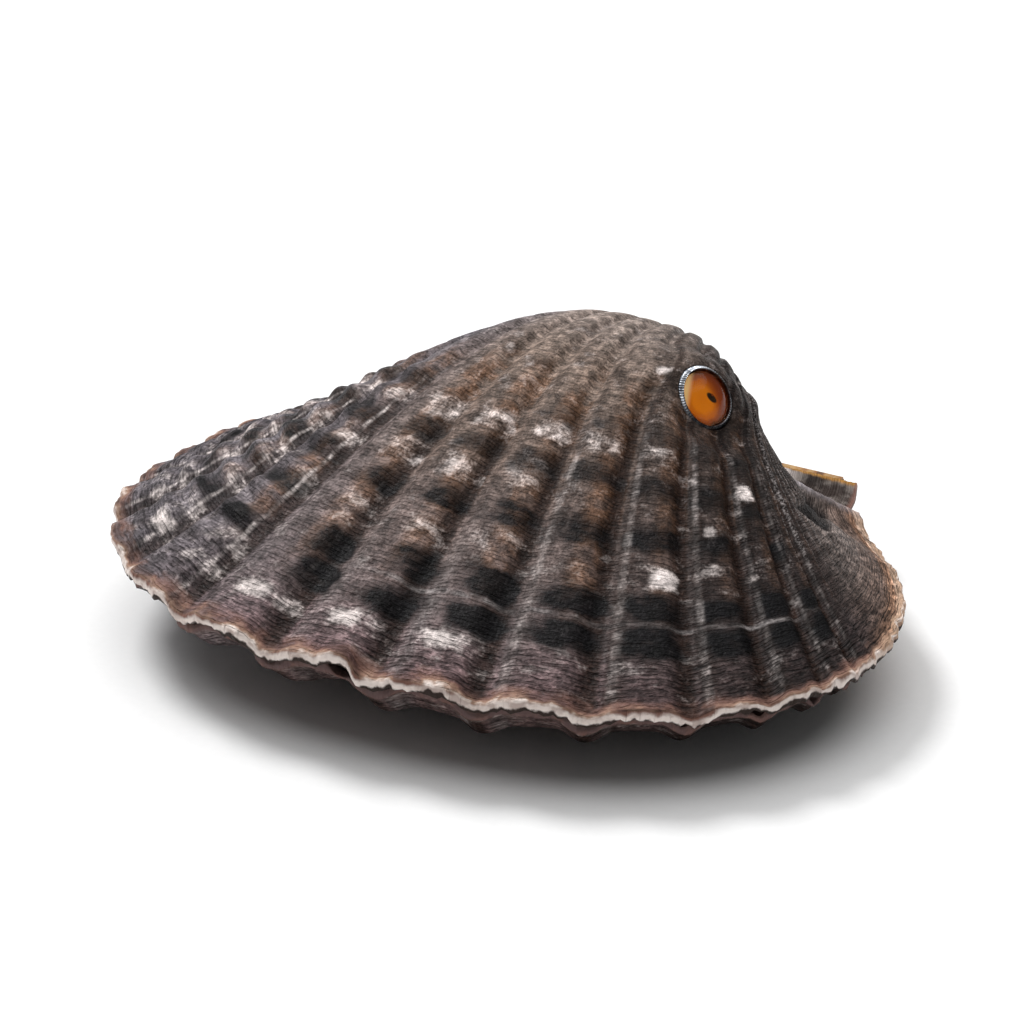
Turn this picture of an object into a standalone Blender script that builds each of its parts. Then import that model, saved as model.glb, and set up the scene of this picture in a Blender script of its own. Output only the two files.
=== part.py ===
"""Bay scallop shell, both valves closed, lying on its lower valve, with an amber glass eye set near the beak.

Each valve grows from its beak by one rule: the margin keeps its outline while it gets larger and swings
about the hinge line, so every rib is the path of one margin point and every growth line is one margin.
In the shell's own frame X runs along the hinge, -Y points to the front margin and the valves meet at Z = 0.
A parent empty then leans that frame as the shell lies, with the world's origin under the middle of its box.
"""

import math
from collections import namedtuple

import bmesh
import bpy
from mathutils import Matrix, Vector

MM = 0.001

# Outline of the disc, seen from above
DISC_RADIUS = 33.8 * MM
DISC_CENTRE = 27.6 * MM  # from the hinge line to the disc's centre
DISC_SHIFT = -1.6 * MM  # the disc sits a little to the left of the beak
OUTLINE_COSINES = {2: -0.064, 3: -0.033}  # departures from a circle, as shares of its radius
OUTLINE_SINES = {2: 0.025, 3: -0.019}

# Ears, the two small wings beside the beak
NOTCH_TURN = math.radians(132)  # where the disc's outline ends and an ear begins
EAR_LENGTHS = {"left": 21.6 * MM, "right": 20.8 * MM}
EAR_CURVE = 0.985  # the ear's free edge is drawn in a little
EAR_SINK = 0.40 * MM  # the hollow across the middle of an ear
FOLD_RISE = 0.45 * MM  # the ridge between an ear and the disc
FOLD_TURN = math.radians(127.5)
FOLD_GROOVE = 0.70 * MM  # the furrow on the disc side of that ridge
GROOVE_TURN = math.radians(118)

# Growth of each valve. Its side is 1 above the meeting plane and -1 below. Going back to the beak, the margin
# swings about the hinge line by spiral * -log(stage) plus a power series in how young the shell is, and
# drifts sideways. The lower valve is a little smaller, so the upper one overhangs it. The cavity swings less than
# the outside does, by its flatness, so each wall thickens towards the beak.
Valve = namedtuple("Valve", "name side size spiral bends drift flatness")
UPPER = Valve("upper_valve", 1, 1.0, 1.113, (-0.749, 0.405), -2.25 * MM, 0.95)
LOWER = Valve("lower_valve", -1, 0.972, 0.0, (0.41, 0.03), -2.25 * MM, 0.88)
SHOULDER_RISE = 0.85 * MM  # the swollen right side of the upper valve, beside its beak
SHOULDER_TURN, SHOULDER_SPAN = 1.15, 0.95
SHOULDER_STAGE, SHOULDER_REACH = 0.31, 0.26
FIRST_STAGE = 0.07  # size of the beak's tip against the full shell
GROWTH_ROWS = 13
ROW_CROWDING = 1.35
FLANK_COLUMNS = 4

# Ribs
RIB_RELIEF = 1.15 * MM  # crest above groove, at the margin in the middle of the disc
RIB_MIDDLE = 2.78  # the rib position that falls on the disc's middle line
RIB_SPREAD = {"left": (2.2, 0.150), "right": (1.62, 0.190)}  # ribs crowd together towards each flank
FIRST_GROOVE, LAST_GROOVE = -6, 10
RIB_PROFILE = ((0.05, -0.5), (0.30, 0.5), (0.70, 0.5), (0.95, -0.5))  # share of a rib's width, share of relief
NARROW_RIB_FADE = 0.6  # how fast relief falls as ribs get narrower
YOUNG_RIB_FADE = 0.7  # how fast relief falls towards the beak

# Lip, gap and cavity
LIP = 1.0 * MM  # thickness of a valve at its margin
GAP = 0.3 * MM  # clearance between pieces that touch
LIP_WAVE = 0.9  # how far the line where the valves meet follows the ribs
LEDGE_WAVE = 0.5
CAVITY_CENTRE = 29.4 * MM  # from the hinge line
CAVITY_HALF_WIDTH = 33.0 * MM
CAVITY_HALF_HEIGHT = 25.8 * MM
CAVITY_STAGES = (0.92, 0.80, 0.66, 0.51, 0.36)

# Ligament, the horny strip that joins the valves behind the hinge line
LIGAMENT_LENGTH = 39.0 * MM
LIGAMENT_DEPTH = 1.8 * MM
LIGAMENT_HEIGHT = 1.2 * MM
LIGAMENT_DROP = 0.15 * MM  # its middle lies this far below the plane where the valves meet
LIGAMENT_ROUNDING = 0.30 * MM

# Glass eye: its place on the upper valve, and the way that it looks
EYE_PLACE = Vector((11.95, -17.4, 13.7)) * MM
EYE_AXIS = Vector((0.793, -0.202, 0.574)).normalized()
EYE_UP = Vector((-0.525, 0.164, 0.832))
LENS_RADIUS = 2.48 * MM
LENS_RISE = 0.90 * MM
LENS_EDGE = 0.45 * MM
LENS_BACK = -0.45 * MM  # heights are along the eye's axis, from the plane of the seat
IRIS_TOP, IRIS_BOTTOM = -0.75 * MM, -1.05 * MM
CUP_FLOOR, CUP_BOTTOM = -1.35 * MM, -1.60 * MM
BEZEL_TOP = 0.30 * MM
BEZEL_OUTER = 3.00 * MM
BEZEL_INNER = 2.73 * MM
BEZEL_EDGE = 0.10 * MM  # rounding of the bezel, and the depth of its crimps
CRIMPS = 36
LENS_SIDES = 28
SOCKET_RADIUS = BEZEL_OUTER + GAP
SOCKET_DEPTH = GAP - CUP_BOTTOM
SOCKET_SIDES = 32
SOCKET_WALL = 1.0 * MM  # shell left around and behind the socket
BOSS_SLOPE = 1.2
SEAT_REACH = 7.0 * MM  # the shell around the eye is turned towards it out to this distance
SEAT_SHARE = 0.80

# How the shell lies
LEAN_RIGHT = math.radians(2.0)
LEAN_FORWARD = math.radians(0.0)
WEAR_DEPTH = 0.35 * MM  # the rib crests under the shell are worn flat by this much


def clear_scene():
    for item in list(bpy.data.objects):
        bpy.data.objects.remove(item)


def make_material(name, colour, roughness, metallic=0.0):
    material = bpy.data.materials.new(name)
    material.use_nodes = True
    shader = material.node_tree.nodes["Principled BSDF"]
    shader.inputs["Base Color"].default_value = (*colour, 1.0)
    shader.inputs["Roughness"].default_value = roughness
    shader.inputs["Metallic"].default_value = metallic
    return material


def make_object(data, material, collection, parent):
    data.materials.append(material)
    item = bpy.data.objects.new(data.name, data)
    item.parent = parent
    collection.objects.link(item)
    return item


def finished_mesh(mesh, name):
    data = bpy.data.meshes.new(name)
    mesh.to_mesh(data)
    mesh.free()
    return data


def smoothstep(value):
    value = min(max(value, 0.0), 1.0)
    return value * value * (3 - 2 * value)


def bump(value, middle, reach):
    """1 at the middle, falling smoothly to 0 at either end of the reach."""
    return max(0.0, 1 - ((value - middle) / reach) ** 2) ** 2


def disc_point(turn, size):
    """A point of the disc's outline, as distances along the hinge and in front of it."""
    waves = sum(share * math.cos(order * turn) for order, share in OUTLINE_COSINES.items())
    waves += sum(share * math.sin(order * turn) for order, share in OUTLINE_SINES.items())
    radius = DISC_RADIUS * size * (1 + waves)
    return (DISC_SHIFT + radius * math.sin(turn), DISC_CENTRE + radius * math.cos(turn))


def groove_turn(position):
    """Where a rib boundary meets the margin. Whole positions are grooves."""
    steps = position - RIB_MIDDLE
    reach, rate = RIB_SPREAD["left" if steps < 0 else "right"]
    return reach * math.tanh(rate * steps)


Column = namedtuple("Column", "place turn relief")


def disc_column(turn, size, relief):
    return Column(disc_point(turn, size), turn, relief)


def ear_columns(side, size):
    """The fold beside an ear, the ear's hollow middle and its corner on the hinge line."""
    notch = disc_point(side * NOTCH_TURN, size)
    corner = (side * (EAR_LENGTHS["right"] if side > 0 else EAR_LENGTHS["left"]), 0.0)
    middle = (EAR_CURVE * (corner[0] + notch[0]) / 2, notch[1] / 2)
    return [
        disc_column(side * GROOVE_TURN, size, -FOLD_GROOVE),
        disc_column(side * FOLD_TURN, size, FOLD_RISE),
        disc_column(side * NOTCH_TURN, size, 0.0),
        Column(middle, side * math.pi, -EAR_SINK),
        Column(corner, side * math.pi, 0.0),
    ]


def flank_columns(start, end, size):
    """Plain columns between the last rib and the fold beside an ear."""
    turns = [start + (end - start) * (i + 0.5) / FLANK_COLUMNS for i in range(FLANK_COLUMNS)]
    return [disc_column(turn, size, 0.0) for turn in turns]


def margin_columns(size):
    """The margin from the left ear's corner, round the front, to the right ear's corner."""
    columns = ear_columns(-1, size)[::-1]
    columns += flank_columns(-GROOVE_TURN, groove_turn(FIRST_GROOVE), size)
    widest = groove_turn(RIB_MIDDLE + 0.5) - groove_turn(RIB_MIDDLE - 0.5)
    for rib in range(FIRST_GROOVE, LAST_GROOVE):
        start, end = groove_turn(rib), groove_turn(rib + 1)
        relief = RIB_RELIEF * ((end - start) / widest) ** NARROW_RIB_FADE
        for share, height in RIB_PROFILE:
            columns.append(disc_column(start + share * (end - start), size, relief * height))
    columns += flank_columns(groove_turn(LAST_GROOVE), GROOVE_TURN, size)
    return columns + ear_columns(1, size)


def swing_angle(valve, stage):
    young = 1 - stage
    bends = sum(rate * young ** (power + 1) for power, rate in enumerate(valve.bends))
    return bends - valve.spiral * math.log(stage)


def grow(valve, place, stage, flattening=1.0):
    """A margin point carried back to an earlier stage of growth."""
    angle = flattening * swing_angle(valve, stage)
    along = stage * (place[0] + valve.drift * (1 - stage))
    return Vector((along, -stage * place[1] * math.cos(angle), stage * place[1] * math.sin(angle)))


def growth_stage(row):
    """Rows crowd together towards the beak, where the shell curves most."""
    share = row / (GROWTH_ROWS - 1)
    return FIRST_STAGE + (1 - FIRST_STAGE) * share**ROW_CROWDING


def turned_to_eye(point):
    """Moves shell near the eye part of the way to the plane that the eye looks out of."""
    offset = point - EYE_PLACE
    height = offset.dot(EYE_AXIS)
    across = (offset - height * EYE_AXIS).length
    weight = 1 - smoothstep((across - BEZEL_OUTER) / (SEAT_REACH - BEZEL_OUTER))
    return point - EYE_AXIS * height * weight * SEAT_SHARE


def kept_behind_socket(point):
    """Moves the cavity's wall inwards behind the eye, so that the socket is a blind hole."""
    offset = point - EYE_PLACE
    height = offset.dot(EYE_AXIS)
    across = (offset - height * EYE_AXIS).length
    limit = -SOCKET_DEPTH - SOCKET_WALL + BOSS_SLOPE * max(0.0, across - SOCKET_RADIUS - SOCKET_WALL)
    return point - EYE_AXIS * max(0.0, height - limit)


def outer_sheet(mesh, valve, columns):
    """A flat grid bent into the outside of one valve, then raised into ribs along its normals."""
    last_column, last_row = len(columns) - 1, GROWTH_ROWS - 1
    grid = bmesh.ops.create_grid(mesh, x_segments=last_column, y_segments=last_row, size=1.0)["verts"]
    cells = {}
    for vert in grid:
        column = columns[round((vert.co.x + 1) / 2 * last_column)]
        stage = growth_stage(round((vert.co.y + 1) / 2 * last_row))
        cells[vert] = (column, stage)
        vert.co = grow(valve, column.place, stage) + Vector((0, 0, LIP))
    mesh.normal_update()
    upwards = math.copysign(1, sum(face.normal.z * face.calc_area() for face in mesh.faces))
    normals = {vert: vert.normal * upwards for vert in grid}
    for vert, (column, stage) in cells.items():
        rise = column.relief * stage**YOUNG_RIB_FADE * valve.side
        if valve is UPPER:
            swelling = bump(column.turn, SHOULDER_TURN, SHOULDER_SPAN)
            rise += SHOULDER_RISE * swelling * bump(stage, SHOULDER_STAGE, SHOULDER_REACH)
        vert.co += normals[vert] * rise
        if valve is UPPER:
            vert.co = turned_to_eye(vert.co)
    return cells


def cavity_point(valve, heading, stage):
    """A point of the cavity's wall, by its direction from the middle of the cavity's mouth."""
    across, ahead = math.sin(heading), math.cos(heading)
    reach = 1 / math.hypot(across / CAVITY_HALF_WIDTH, ahead / CAVITY_HALF_HEIGHT)
    place = (DISC_SHIFT + reach * across, CAVITY_CENTRE + reach * ahead)
    point = grow(valve, place, stage, valve.flatness) + Vector((0, 0, GAP / 2))
    return kept_behind_socket(point) if valve is UPPER else point


def extruded_rim(mesh, rim, move):
    """Draws the open rim of the valve on by one row, and moves each new point by the given rule."""
    made = bmesh.ops.extrude_edge_only(mesh, edges=rim)["geom"]
    for vert in [item for item in made if isinstance(item, bmesh.types.BMVert)]:
        vert.co = move(vert)
    return [item for item in made if isinstance(item, bmesh.types.BMEdge)]


def build_valve(valve):
    """The outside, then its rim drawn down over the lip, in over the ledge and up the wall of the cavity."""
    mesh = bmesh.new()
    wave = mesh.verts.layers.float.new("wave")
    heading = mesh.verts.layers.float.new("heading")
    cells = outer_sheet(mesh, valve, margin_columns(valve.size))
    mesh.faces.new([vert for vert, (_, stage) in cells.items() if stage == FIRST_STAGE])
    for vert, (column, stage) in cells.items():
        vert[wave] = column.relief * valve.side if stage == 1 else 0.0
        vert[heading] = math.atan2(vert.co.x - DISC_SHIFT, -vert.co.y - CAVITY_CENTRE)

    def lip_point(vert):
        return Vector((vert.co.x, vert.co.y, GAP / 2 + LIP_WAVE * vert[wave]))

    def ledge_point(vert):
        return cavity_point(valve, vert[heading], 1.0) + Vector((0, 0, LEDGE_WAVE * vert[wave]))

    rim = [edge for edge in mesh.edges if edge.is_boundary]
    rim = extruded_rim(mesh, rim, lip_point)
    rim = extruded_rim(mesh, rim, ledge_point)
    for stage in CAVITY_STAGES:
        rim = extruded_rim(mesh, rim, lambda vert, at=stage: cavity_point(valve, vert[heading], at))
    bmesh.ops.contextual_create(mesh, geom=rim)
    bmesh.ops.transform(mesh, matrix=Matrix.Diagonal((1, 1, valve.side, 1)), verts=mesh.verts)
    bmesh.ops.recalc_face_normals(mesh, faces=mesh.faces)
    return finished_mesh(mesh, valve.name)


def turned_mesh(name, profile, sides):
    """A closed solid of revolution about Z. The profile runs from the axis, out and back to the axis."""
    mesh = bmesh.new()
    verts = [mesh.verts.new((radius, 0, height)) for radius, height in profile]
    edges = [mesh.edges.new(pair) for pair in zip(verts, verts[1:])]
    bmesh.ops.spin(
        mesh,
        geom=verts + edges,
        cent=(0, 0, 0),
        axis=(0, 0, 1),
        angle=math.tau,
        steps=sides,
        use_merge=True,
    )
    bmesh.ops.remove_doubles(mesh, verts=mesh.verts, dist=0.001 * MM)
    bmesh.ops.recalc_face_normals(mesh, faces=mesh.faces)
    return finished_mesh(mesh, name)


def eye_matrix():
    """Z along the way that the eye looks, Y towards its top."""
    up = (EYE_UP - EYE_UP.dot(EYE_AXIS) * EYE_AXIS).normalized()
    across = up.cross(EYE_AXIS)
    turn = Matrix((across, up, EYE_AXIS)).transposed().to_4x4()
    return Matrix.Translation(EYE_PLACE) @ turn


def build_lens():
    """A dome of clear glass with a flat back."""
    edge_top = LENS_BACK + LENS_EDGE
    ball = (LENS_RADIUS**2 + LENS_RISE**2) / (2 * LENS_RISE)
    reach = math.asin(LENS_RADIUS / ball)
    profile = [(0, LENS_BACK), (LENS_RADIUS, LENS_BACK)]
    for i in range(7):
        angle = reach * (1 - i / 6)
        profile.append((ball * math.sin(angle), edge_top + LENS_RISE - ball * (1 - math.cos(angle))))
    return turned_mesh("eye_lens", profile, LENS_SIDES)


def build_iris():
    """The painted disc behind the lens. Its slit pupil is paint too, so it has no shape of its own."""
    edge = [(LENS_RADIUS, IRIS_BOTTOM), (LENS_RADIUS, IRIS_TOP)]
    return turned_mesh("eye_iris", [(0, IRIS_BOTTOM), *edge, (0, IRIS_TOP)], LENS_SIDES)


def build_bezel():
    """A thin metal cup whose rim is crimped all round."""
    profile = [
        (0, CUP_BOTTOM),
        (BEZEL_OUTER - BEZEL_EDGE, CUP_BOTTOM),
        (BEZEL_OUTER, CUP_BOTTOM + BEZEL_EDGE),
        (BEZEL_OUTER, BEZEL_TOP - BEZEL_EDGE),
        (BEZEL_OUTER - BEZEL_EDGE, BEZEL_TOP),
        (BEZEL_INNER, BEZEL_TOP - BEZEL_EDGE / 2),
        (BEZEL_INNER, CUP_FLOOR),
        (0, CUP_FLOOR),
    ]
    data = turned_mesh("eye_bezel", profile, CRIMPS)
    for vert in data.vertices:
        turn = round(math.atan2(vert.co.y, vert.co.x) / math.tau * CRIMPS)
        if vert.co.z > BEZEL_TOP - BEZEL_EDGE / 4 and turn % 2:
            vert.co.z -= BEZEL_EDGE
    return data


def build_ligament():
    mesh = bmesh.new()
    size = (LIGAMENT_LENGTH, LIGAMENT_DEPTH, LIGAMENT_HEIGHT)
    bmesh.ops.create_cube(mesh, size=1.0, matrix=Matrix.Diagonal((*size, 1)))
    bmesh.ops.bevel(mesh, geom=mesh.edges[:], offset=LIGAMENT_ROUNDING, segments=2, affect="EDGES")
    middle = (EAR_LENGTHS["right"] - EAR_LENGTHS["left"]) / 2
    bmesh.ops.translate(mesh, vec=(middle, LIGAMENT_DEPTH / 2 + GAP, -LIGAMENT_DROP), verts=mesh.verts)
    return finished_mesh(mesh, "hinge_ligament")


def add_cutter(data, target, collection, parent):
    cutter = bpy.data.objects.new(data.name, data)
    cutter.parent = parent
    cutter.hide_render = True
    cutter.display_type = "WIRE"
    collection.objects.link(cutter)
    cut = target.modifiers.new(data.name, "BOOLEAN")
    cut.operation = "DIFFERENCE"
    cut.object = cutter
    return cutter


def socket_mesh():
    """The blind hole that the eye's cup sits in, long enough to clear the shell in front of the eye."""
    front = 6 * MM
    wall = [(SOCKET_RADIUS, -SOCKET_DEPTH), (SOCKET_RADIUS, front)]
    return turned_mesh("eye_socket", [(0, -SOCKET_DEPTH), *wall, (0, front)], SOCKET_SIDES)


def floor_mesh():
    """A block whose top is the plane that the rib crests are worn down to."""
    size = 60 * MM
    mesh = bmesh.new()
    bmesh.ops.create_cube(mesh, size=size)
    bmesh.ops.translate(mesh, vec=(0, 0, -size / 2), verts=mesh.verts)
    return finished_mesh(mesh, "worn_plane")


def main():
    clear_scene()
    parts = bpy.data.collections.new("bay_scallop_shell")
    cutters = bpy.data.collections.new("cutters")
    for collection in (parts, cutters):
        bpy.context.scene.collection.children.link(collection)
    shell = bpy.data.objects.new("shell_frame", None)
    parts.objects.link(shell)
    lean = Matrix.Rotation(LEAN_RIGHT, 4, "Y") @ Matrix.Rotation(LEAN_FORWARD, 4, "X")

    grey_brown = make_material("grey_brown_shell", (0.12, 0.09, 0.075), 0.55)
    dark_shell = make_material("dark_shell", (0.07, 0.055, 0.05), 0.6)
    horn = make_material("amber_ligament", (0.42, 0.22, 0.06), 0.45)
    silver = make_material("silver_rim", (0.62, 0.63, 0.66), 0.25, 1.0)
    amber = make_material("amber_glass", (0.85, 0.32, 0.03), 0.05)
    iris_paint = make_material("iris_paint", (0.75, 0.22, 0.02), 0.4)

    upper = make_object(build_valve(UPPER), grey_brown, parts, shell)
    lower = make_object(build_valve(LOWER), dark_shell, parts, shell)
    make_object(build_ligament(), horn, parts, shell)
    eye = eye_matrix()
    for data, material in ((build_bezel(), silver), (build_iris(), iris_paint), (build_lens(), amber)):
        make_object(data, material, parts, shell).matrix_local = eye
    add_cutter(socket_mesh(), upper, cutters, shell).matrix_local = eye

    lowest = min((lean @ vert.co).z for vert in lower.data.vertices)
    add_cutter(floor_mesh(), lower, cutters, None)
    corners = [lean @ vert.co for item in (upper, lower) for vert in item.data.vertices]
    middle = [(max(c[i] for c in corners) + min(c[i] for c in corners)) / 2 for i in (0, 1)]
    shell.matrix_world = Matrix.Translation((-middle[0], -middle[1], -lowest - WEAR_DEPTH)) @ lean


main()
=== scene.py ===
# %% [markdown]
# # A bay scallop shell with a glass eye
# A scallop shell is two hinged valves. This one lies closed on its lower valve, and a small amber glass eye
# in a crimped silver cup is set into the upper valve beside the beak.
#
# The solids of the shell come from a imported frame, at their real size. This script keeps them where they are
# and dresses them: fine meshes stand for the coarse ones, and every surface gets a material made of nodes.

import math
from functools import reduce
from types import SimpleNamespace

import bpy
import numpy as np
from mathutils import Euler, Matrix, Vector


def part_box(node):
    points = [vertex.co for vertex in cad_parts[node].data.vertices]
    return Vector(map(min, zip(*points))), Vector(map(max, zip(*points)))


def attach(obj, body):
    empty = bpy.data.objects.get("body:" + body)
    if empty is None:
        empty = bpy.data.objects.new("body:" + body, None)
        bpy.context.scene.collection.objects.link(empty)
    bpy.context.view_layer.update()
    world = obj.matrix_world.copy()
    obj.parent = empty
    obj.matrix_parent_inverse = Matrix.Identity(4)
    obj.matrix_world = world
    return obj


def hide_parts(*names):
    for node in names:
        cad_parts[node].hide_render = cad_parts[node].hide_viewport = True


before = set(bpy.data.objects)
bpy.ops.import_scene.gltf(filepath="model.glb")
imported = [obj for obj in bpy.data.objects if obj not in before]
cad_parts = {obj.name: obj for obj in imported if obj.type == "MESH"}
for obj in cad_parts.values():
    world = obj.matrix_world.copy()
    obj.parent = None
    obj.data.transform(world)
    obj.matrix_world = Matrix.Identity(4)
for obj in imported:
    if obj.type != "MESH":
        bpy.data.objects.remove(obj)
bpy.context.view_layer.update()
MM = 0.001
scene = bpy.context.scene
print("nodes in the frame:", ", ".join(sorted(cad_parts)))

# %% [markdown]
# ## The shell's own frame
# The shell is easiest to describe with its hinge line along X and its valves meeting at Z = 0. It lies
# leaning a little to the right, so every point is worked out in the shell's frame and then leaned. The
# ligament's solid shows where the frame is: its middle is a known point beside the hinge.

# %% The shell's frame
LEAN_RIGHT = math.radians(2.0)
EAR_LENGTHS = {"left": 21.6 * MM, "right": 20.8 * MM}
LIGAMENT_DEPTH = 1.8 * MM
LIGAMENT_DROP = 0.15 * MM
GAP = 0.3 * MM  # clearance between pieces that touch

lean = Matrix.Rotation(LEAN_RIGHT, 4, "Y")
low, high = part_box("hinge_ligament")
ligament_across = (EAR_LENGTHS["right"] - EAR_LENGTHS["left"]) / 2
ligament_middle = Vector((ligament_across, LIGAMENT_DEPTH / 2 + GAP, -LIGAMENT_DROP))
shell_frame = Matrix.Translation((low + high) / 2 - lean @ ligament_middle) @ lean
print("shell frame at", [round(c / MM, 2) for c in shell_frame.translation], "mm")

# %% [markdown]
# ## How a scallop grows
# A scallop adds shell only along its margin, so each growth line is a smaller copy of the margin, and each
# rib is the path of one point of the margin. A formula therefore suits it better than sculpting: give the
# outline of the margin, then shrink it towards the beak while it swings about the hinge line. The upper
# valve swings up into a dome whose beak curls over, and the lower valve stays shallow.
#
# Numpy works on whole arrays of points at once, which keeps a mesh of this size quick.

# %% The outline and the growth law
DISC_RADIUS = 33.8 * MM
DISC_CENTRE = 27.6 * MM
DISC_SHIFT = -1.6 * MM
OUTLINE_COSINES = {2: -0.064, 3: -0.033}
OUTLINE_SINES = {2: 0.025, 3: -0.019}
NOTCH_TURN = math.radians(132)
LIP = 1.0 * MM
UPPER = {"side": 1, "size": 1.0, "spiral": 1.113, "bends": (-0.749, 0.405), "flatness": 0.95}
LOWER = {"side": -1, "size": 0.972, "spiral": 0.0, "bends": (0.41, 0.03), "flatness": 0.88}
DRIFT = -2.25 * MM
FIRST_STAGE = 0.06


def disc_outline(turn, size):
    """The margin, along the hinge and in front of it. Turn is 0 in front and grows to the right."""
    waves = sum(share * np.cos(order * turn) for order, share in OUTLINE_COSINES.items())
    waves = waves + sum(share * np.sin(order * turn) for order, share in OUTLINE_SINES.items())
    radius = DISC_RADIUS * size * (1 + waves)
    return DISC_SHIFT + radius * np.sin(turn), DISC_CENTRE + radius * np.cos(turn)


def grow(valve, across, ahead, stage, flatness=1.0):
    """Margin points carried back to an earlier stage of growth: 1 at the margin, towards 0 at the beak."""
    young = 1 - stage
    swing = valve["bends"][0] * young + valve["bends"][1] * young**2 - valve["spiral"] * np.log(stage)
    swing = swing * flatness
    x = stage * (across + DRIFT * young)
    return np.stack([x, -stage * ahead * np.cos(swing), stage * ahead * np.sin(swing)], axis=-1)


print("disc is", round(2 * DISC_RADIUS / MM, 1), "mm across before its outline waves")

# %% [markdown]
# ## Ribs
# The ribs are broad in the middle of the disc and crowd together towards both flanks. A hyperbolic tangent
# gives that spacing from two numbers a side. The rib position counts grooves: its whole part names the rib,
# and its fraction says how far across that rib a point lies.

# %% Rib positions
RIB_MIDDLE = 2.78
RIB_SPREAD = {"left": (2.2, 0.150), "right": (1.62, 0.190)}
FIRST_GROOVE, LAST_GROOVE = -6, 10
TANGENT_LIMIT = 0.999


def rib_of(turn):
    """The rib position of each turn."""
    left_reach, left_rate = RIB_SPREAD["left"]
    right_reach, right_rate = RIB_SPREAD["right"]
    left = np.arctanh(np.clip(turn / left_reach, -TANGENT_LIMIT, 0)) / left_rate
    right = np.arctanh(np.clip(turn / right_reach, 0, TANGENT_LIMIT)) / right_rate
    return RIB_MIDDLE + left + right


def turn_of(rib):
    steps = np.asarray(rib, float) - RIB_MIDDLE
    left = RIB_SPREAD["left"][0] * np.tanh(RIB_SPREAD["left"][1] * steps)
    right = RIB_SPREAD["right"][0] * np.tanh(RIB_SPREAD["right"][1] * steps)
    return np.where(steps < 0, left, right)


print("grooves at", np.degrees(turn_of(range(FIRST_GROOVE, LAST_GROOVE + 1))).round(1), "degrees")

# %% [markdown]
# ## A fine grid for a valve
# The grid has a column for each point of the margin and a row for each stage of growth. Columns are spaced
# by distance along the margin, and rows by distance along the middle rib, so that the faces stay nearly
# square. Under 200,000 triangles a valve keep ribs, folds and chips as real shape, and finer lines go in the
# material.

# %% Grid columns and rows
EAR_COLUMNS = 22
DISC_COLUMNS = 414
GROWTH_ROWS = 196
SAMPLES = 2000  # points on a curve whose length is measured
EAR_BOW = 0.25 * MM


def evenly(points, count):
    """Positions from 0 to 1 that are evenly spaced along a line of points."""
    lengths = np.linalg.norm(np.diff(points, axis=0), axis=1)
    travelled = np.concatenate([[0], np.cumsum(lengths)])
    wanted = np.linspace(0, travelled[-1], count)
    return np.interp(wanted, travelled, np.linspace(0, 1, len(points)))


def margin(size):
    """The columns from the left ear's corner, round the front, to the right ear's corner."""
    guess = np.linspace(-NOTCH_TURN, NOTCH_TURN, SAMPLES)
    spaced = evenly(np.stack(disc_outline(guess, size), axis=1), DISC_COLUMNS)
    turn = -NOTCH_TURN + 2 * NOTCH_TURN * spaced
    across, ahead = disc_outline(turn, size)
    ear = np.linspace(0, 1, EAR_COLUMNS + 1)[1:]
    ears = {}
    for name, side, edge in (("left", -1, 0), ("right", 1, -1)):
        corner = side * EAR_LENGTHS[name]
        x = across[edge] + (corner - across[edge]) * ear
        y = ahead[edge] * (1 - ear)
        bow = EAR_BOW * np.sin(math.pi * ear)
        ears[name] = (x + side * bow, y)
    return {
        "across": np.concatenate([ears["left"][0][::-1], across, ears["right"][0]]),
        "ahead": np.concatenate([ears["left"][1][::-1], ahead, ears["right"][1]]),
        "turn": np.concatenate([np.full(EAR_COLUMNS, -math.pi), turn, np.full(EAR_COLUMNS, math.pi)]),
        "ear": np.concatenate([ear[::-1], np.zeros(DISC_COLUMNS), ear]),
    }


def growth_stages(valve):
    stages = np.linspace(FIRST_STAGE, 1, SAMPLES)
    middle = disc_outline(np.array([0.0]), valve["size"])
    line = grow(valve, middle[0], middle[1], stages)
    return FIRST_STAGE + (1 - FIRST_STAGE) * evenly(line, GROWTH_ROWS)


print("grid of", DISC_COLUMNS + 2 * EAR_COLUMNS, "columns and", GROWTH_ROWS, "rows")

# %% [markdown]
# ## Relief
# Several kinds of relief lie on the smooth dome, and each is pushed along the surface's normals: ribs with a
# flat crest between two sloping walls, knobs where growth paused on the left ribs, fine riblets on the steep
# right flank, rest lines round the whole disc, and beside each ear a furrow, a ridge and a dark pocket. A
# smooth ramp between two values, used everywhere below, makes walls with soft feet and shoulders.

# %% Relief helpers
def ramp(value, start, end):
    """0 before the start, 1 after the end, and a soft slope between them."""
    share = np.clip((value - start) / (end - start), 0, 1)
    return share * share * (3 - 2 * share)


def window(value, start, end, soft):
    """1 between start and end, falling softly to 0 outside them."""
    return ramp(value, start - soft, start + soft) * (1 - ramp(value, end - soft, end + soft))


def bump_at(value, middle, reach):
    return np.clip(1 - ((value - middle) / reach) ** 2, 0, None) ** 2


WAVE_SEED = 11
WAVE_COUNT = 7
wave_random = np.random.default_rng(WAVE_SEED)
WAVES = [(wave_random.uniform(0.6, 1.9, 2), wave_random.uniform(0, math.tau, 2)) for _ in range(WAVE_COUNT)]


def ripple(a, b):
    """A smooth random surface between about -1 and 1, from a few crossed sine waves."""
    total = 0
    for (rate_a, rate_b), (start_a, start_b) in WAVES:
        total = total + np.sin(a * rate_a + 1.3 * np.sin(b * rate_b + start_b) + start_a)
    return total / 4


print("ripple at the origin:", round(float(ripple(0.0, 0.0)), 3))

# %% Relief of the ribs
RIB_RELIEF = 1.15 * MM
NARROW_RIB_FADE = 0.6
YOUNG_RIB_FADE = 0.7
RIB_WALL = 0.30  # share of a rib's width where its left wall ends
KNOB_PITCH = 0.052  # of the shell's growth
KNOB_RISE = 0.30 * MM


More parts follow.
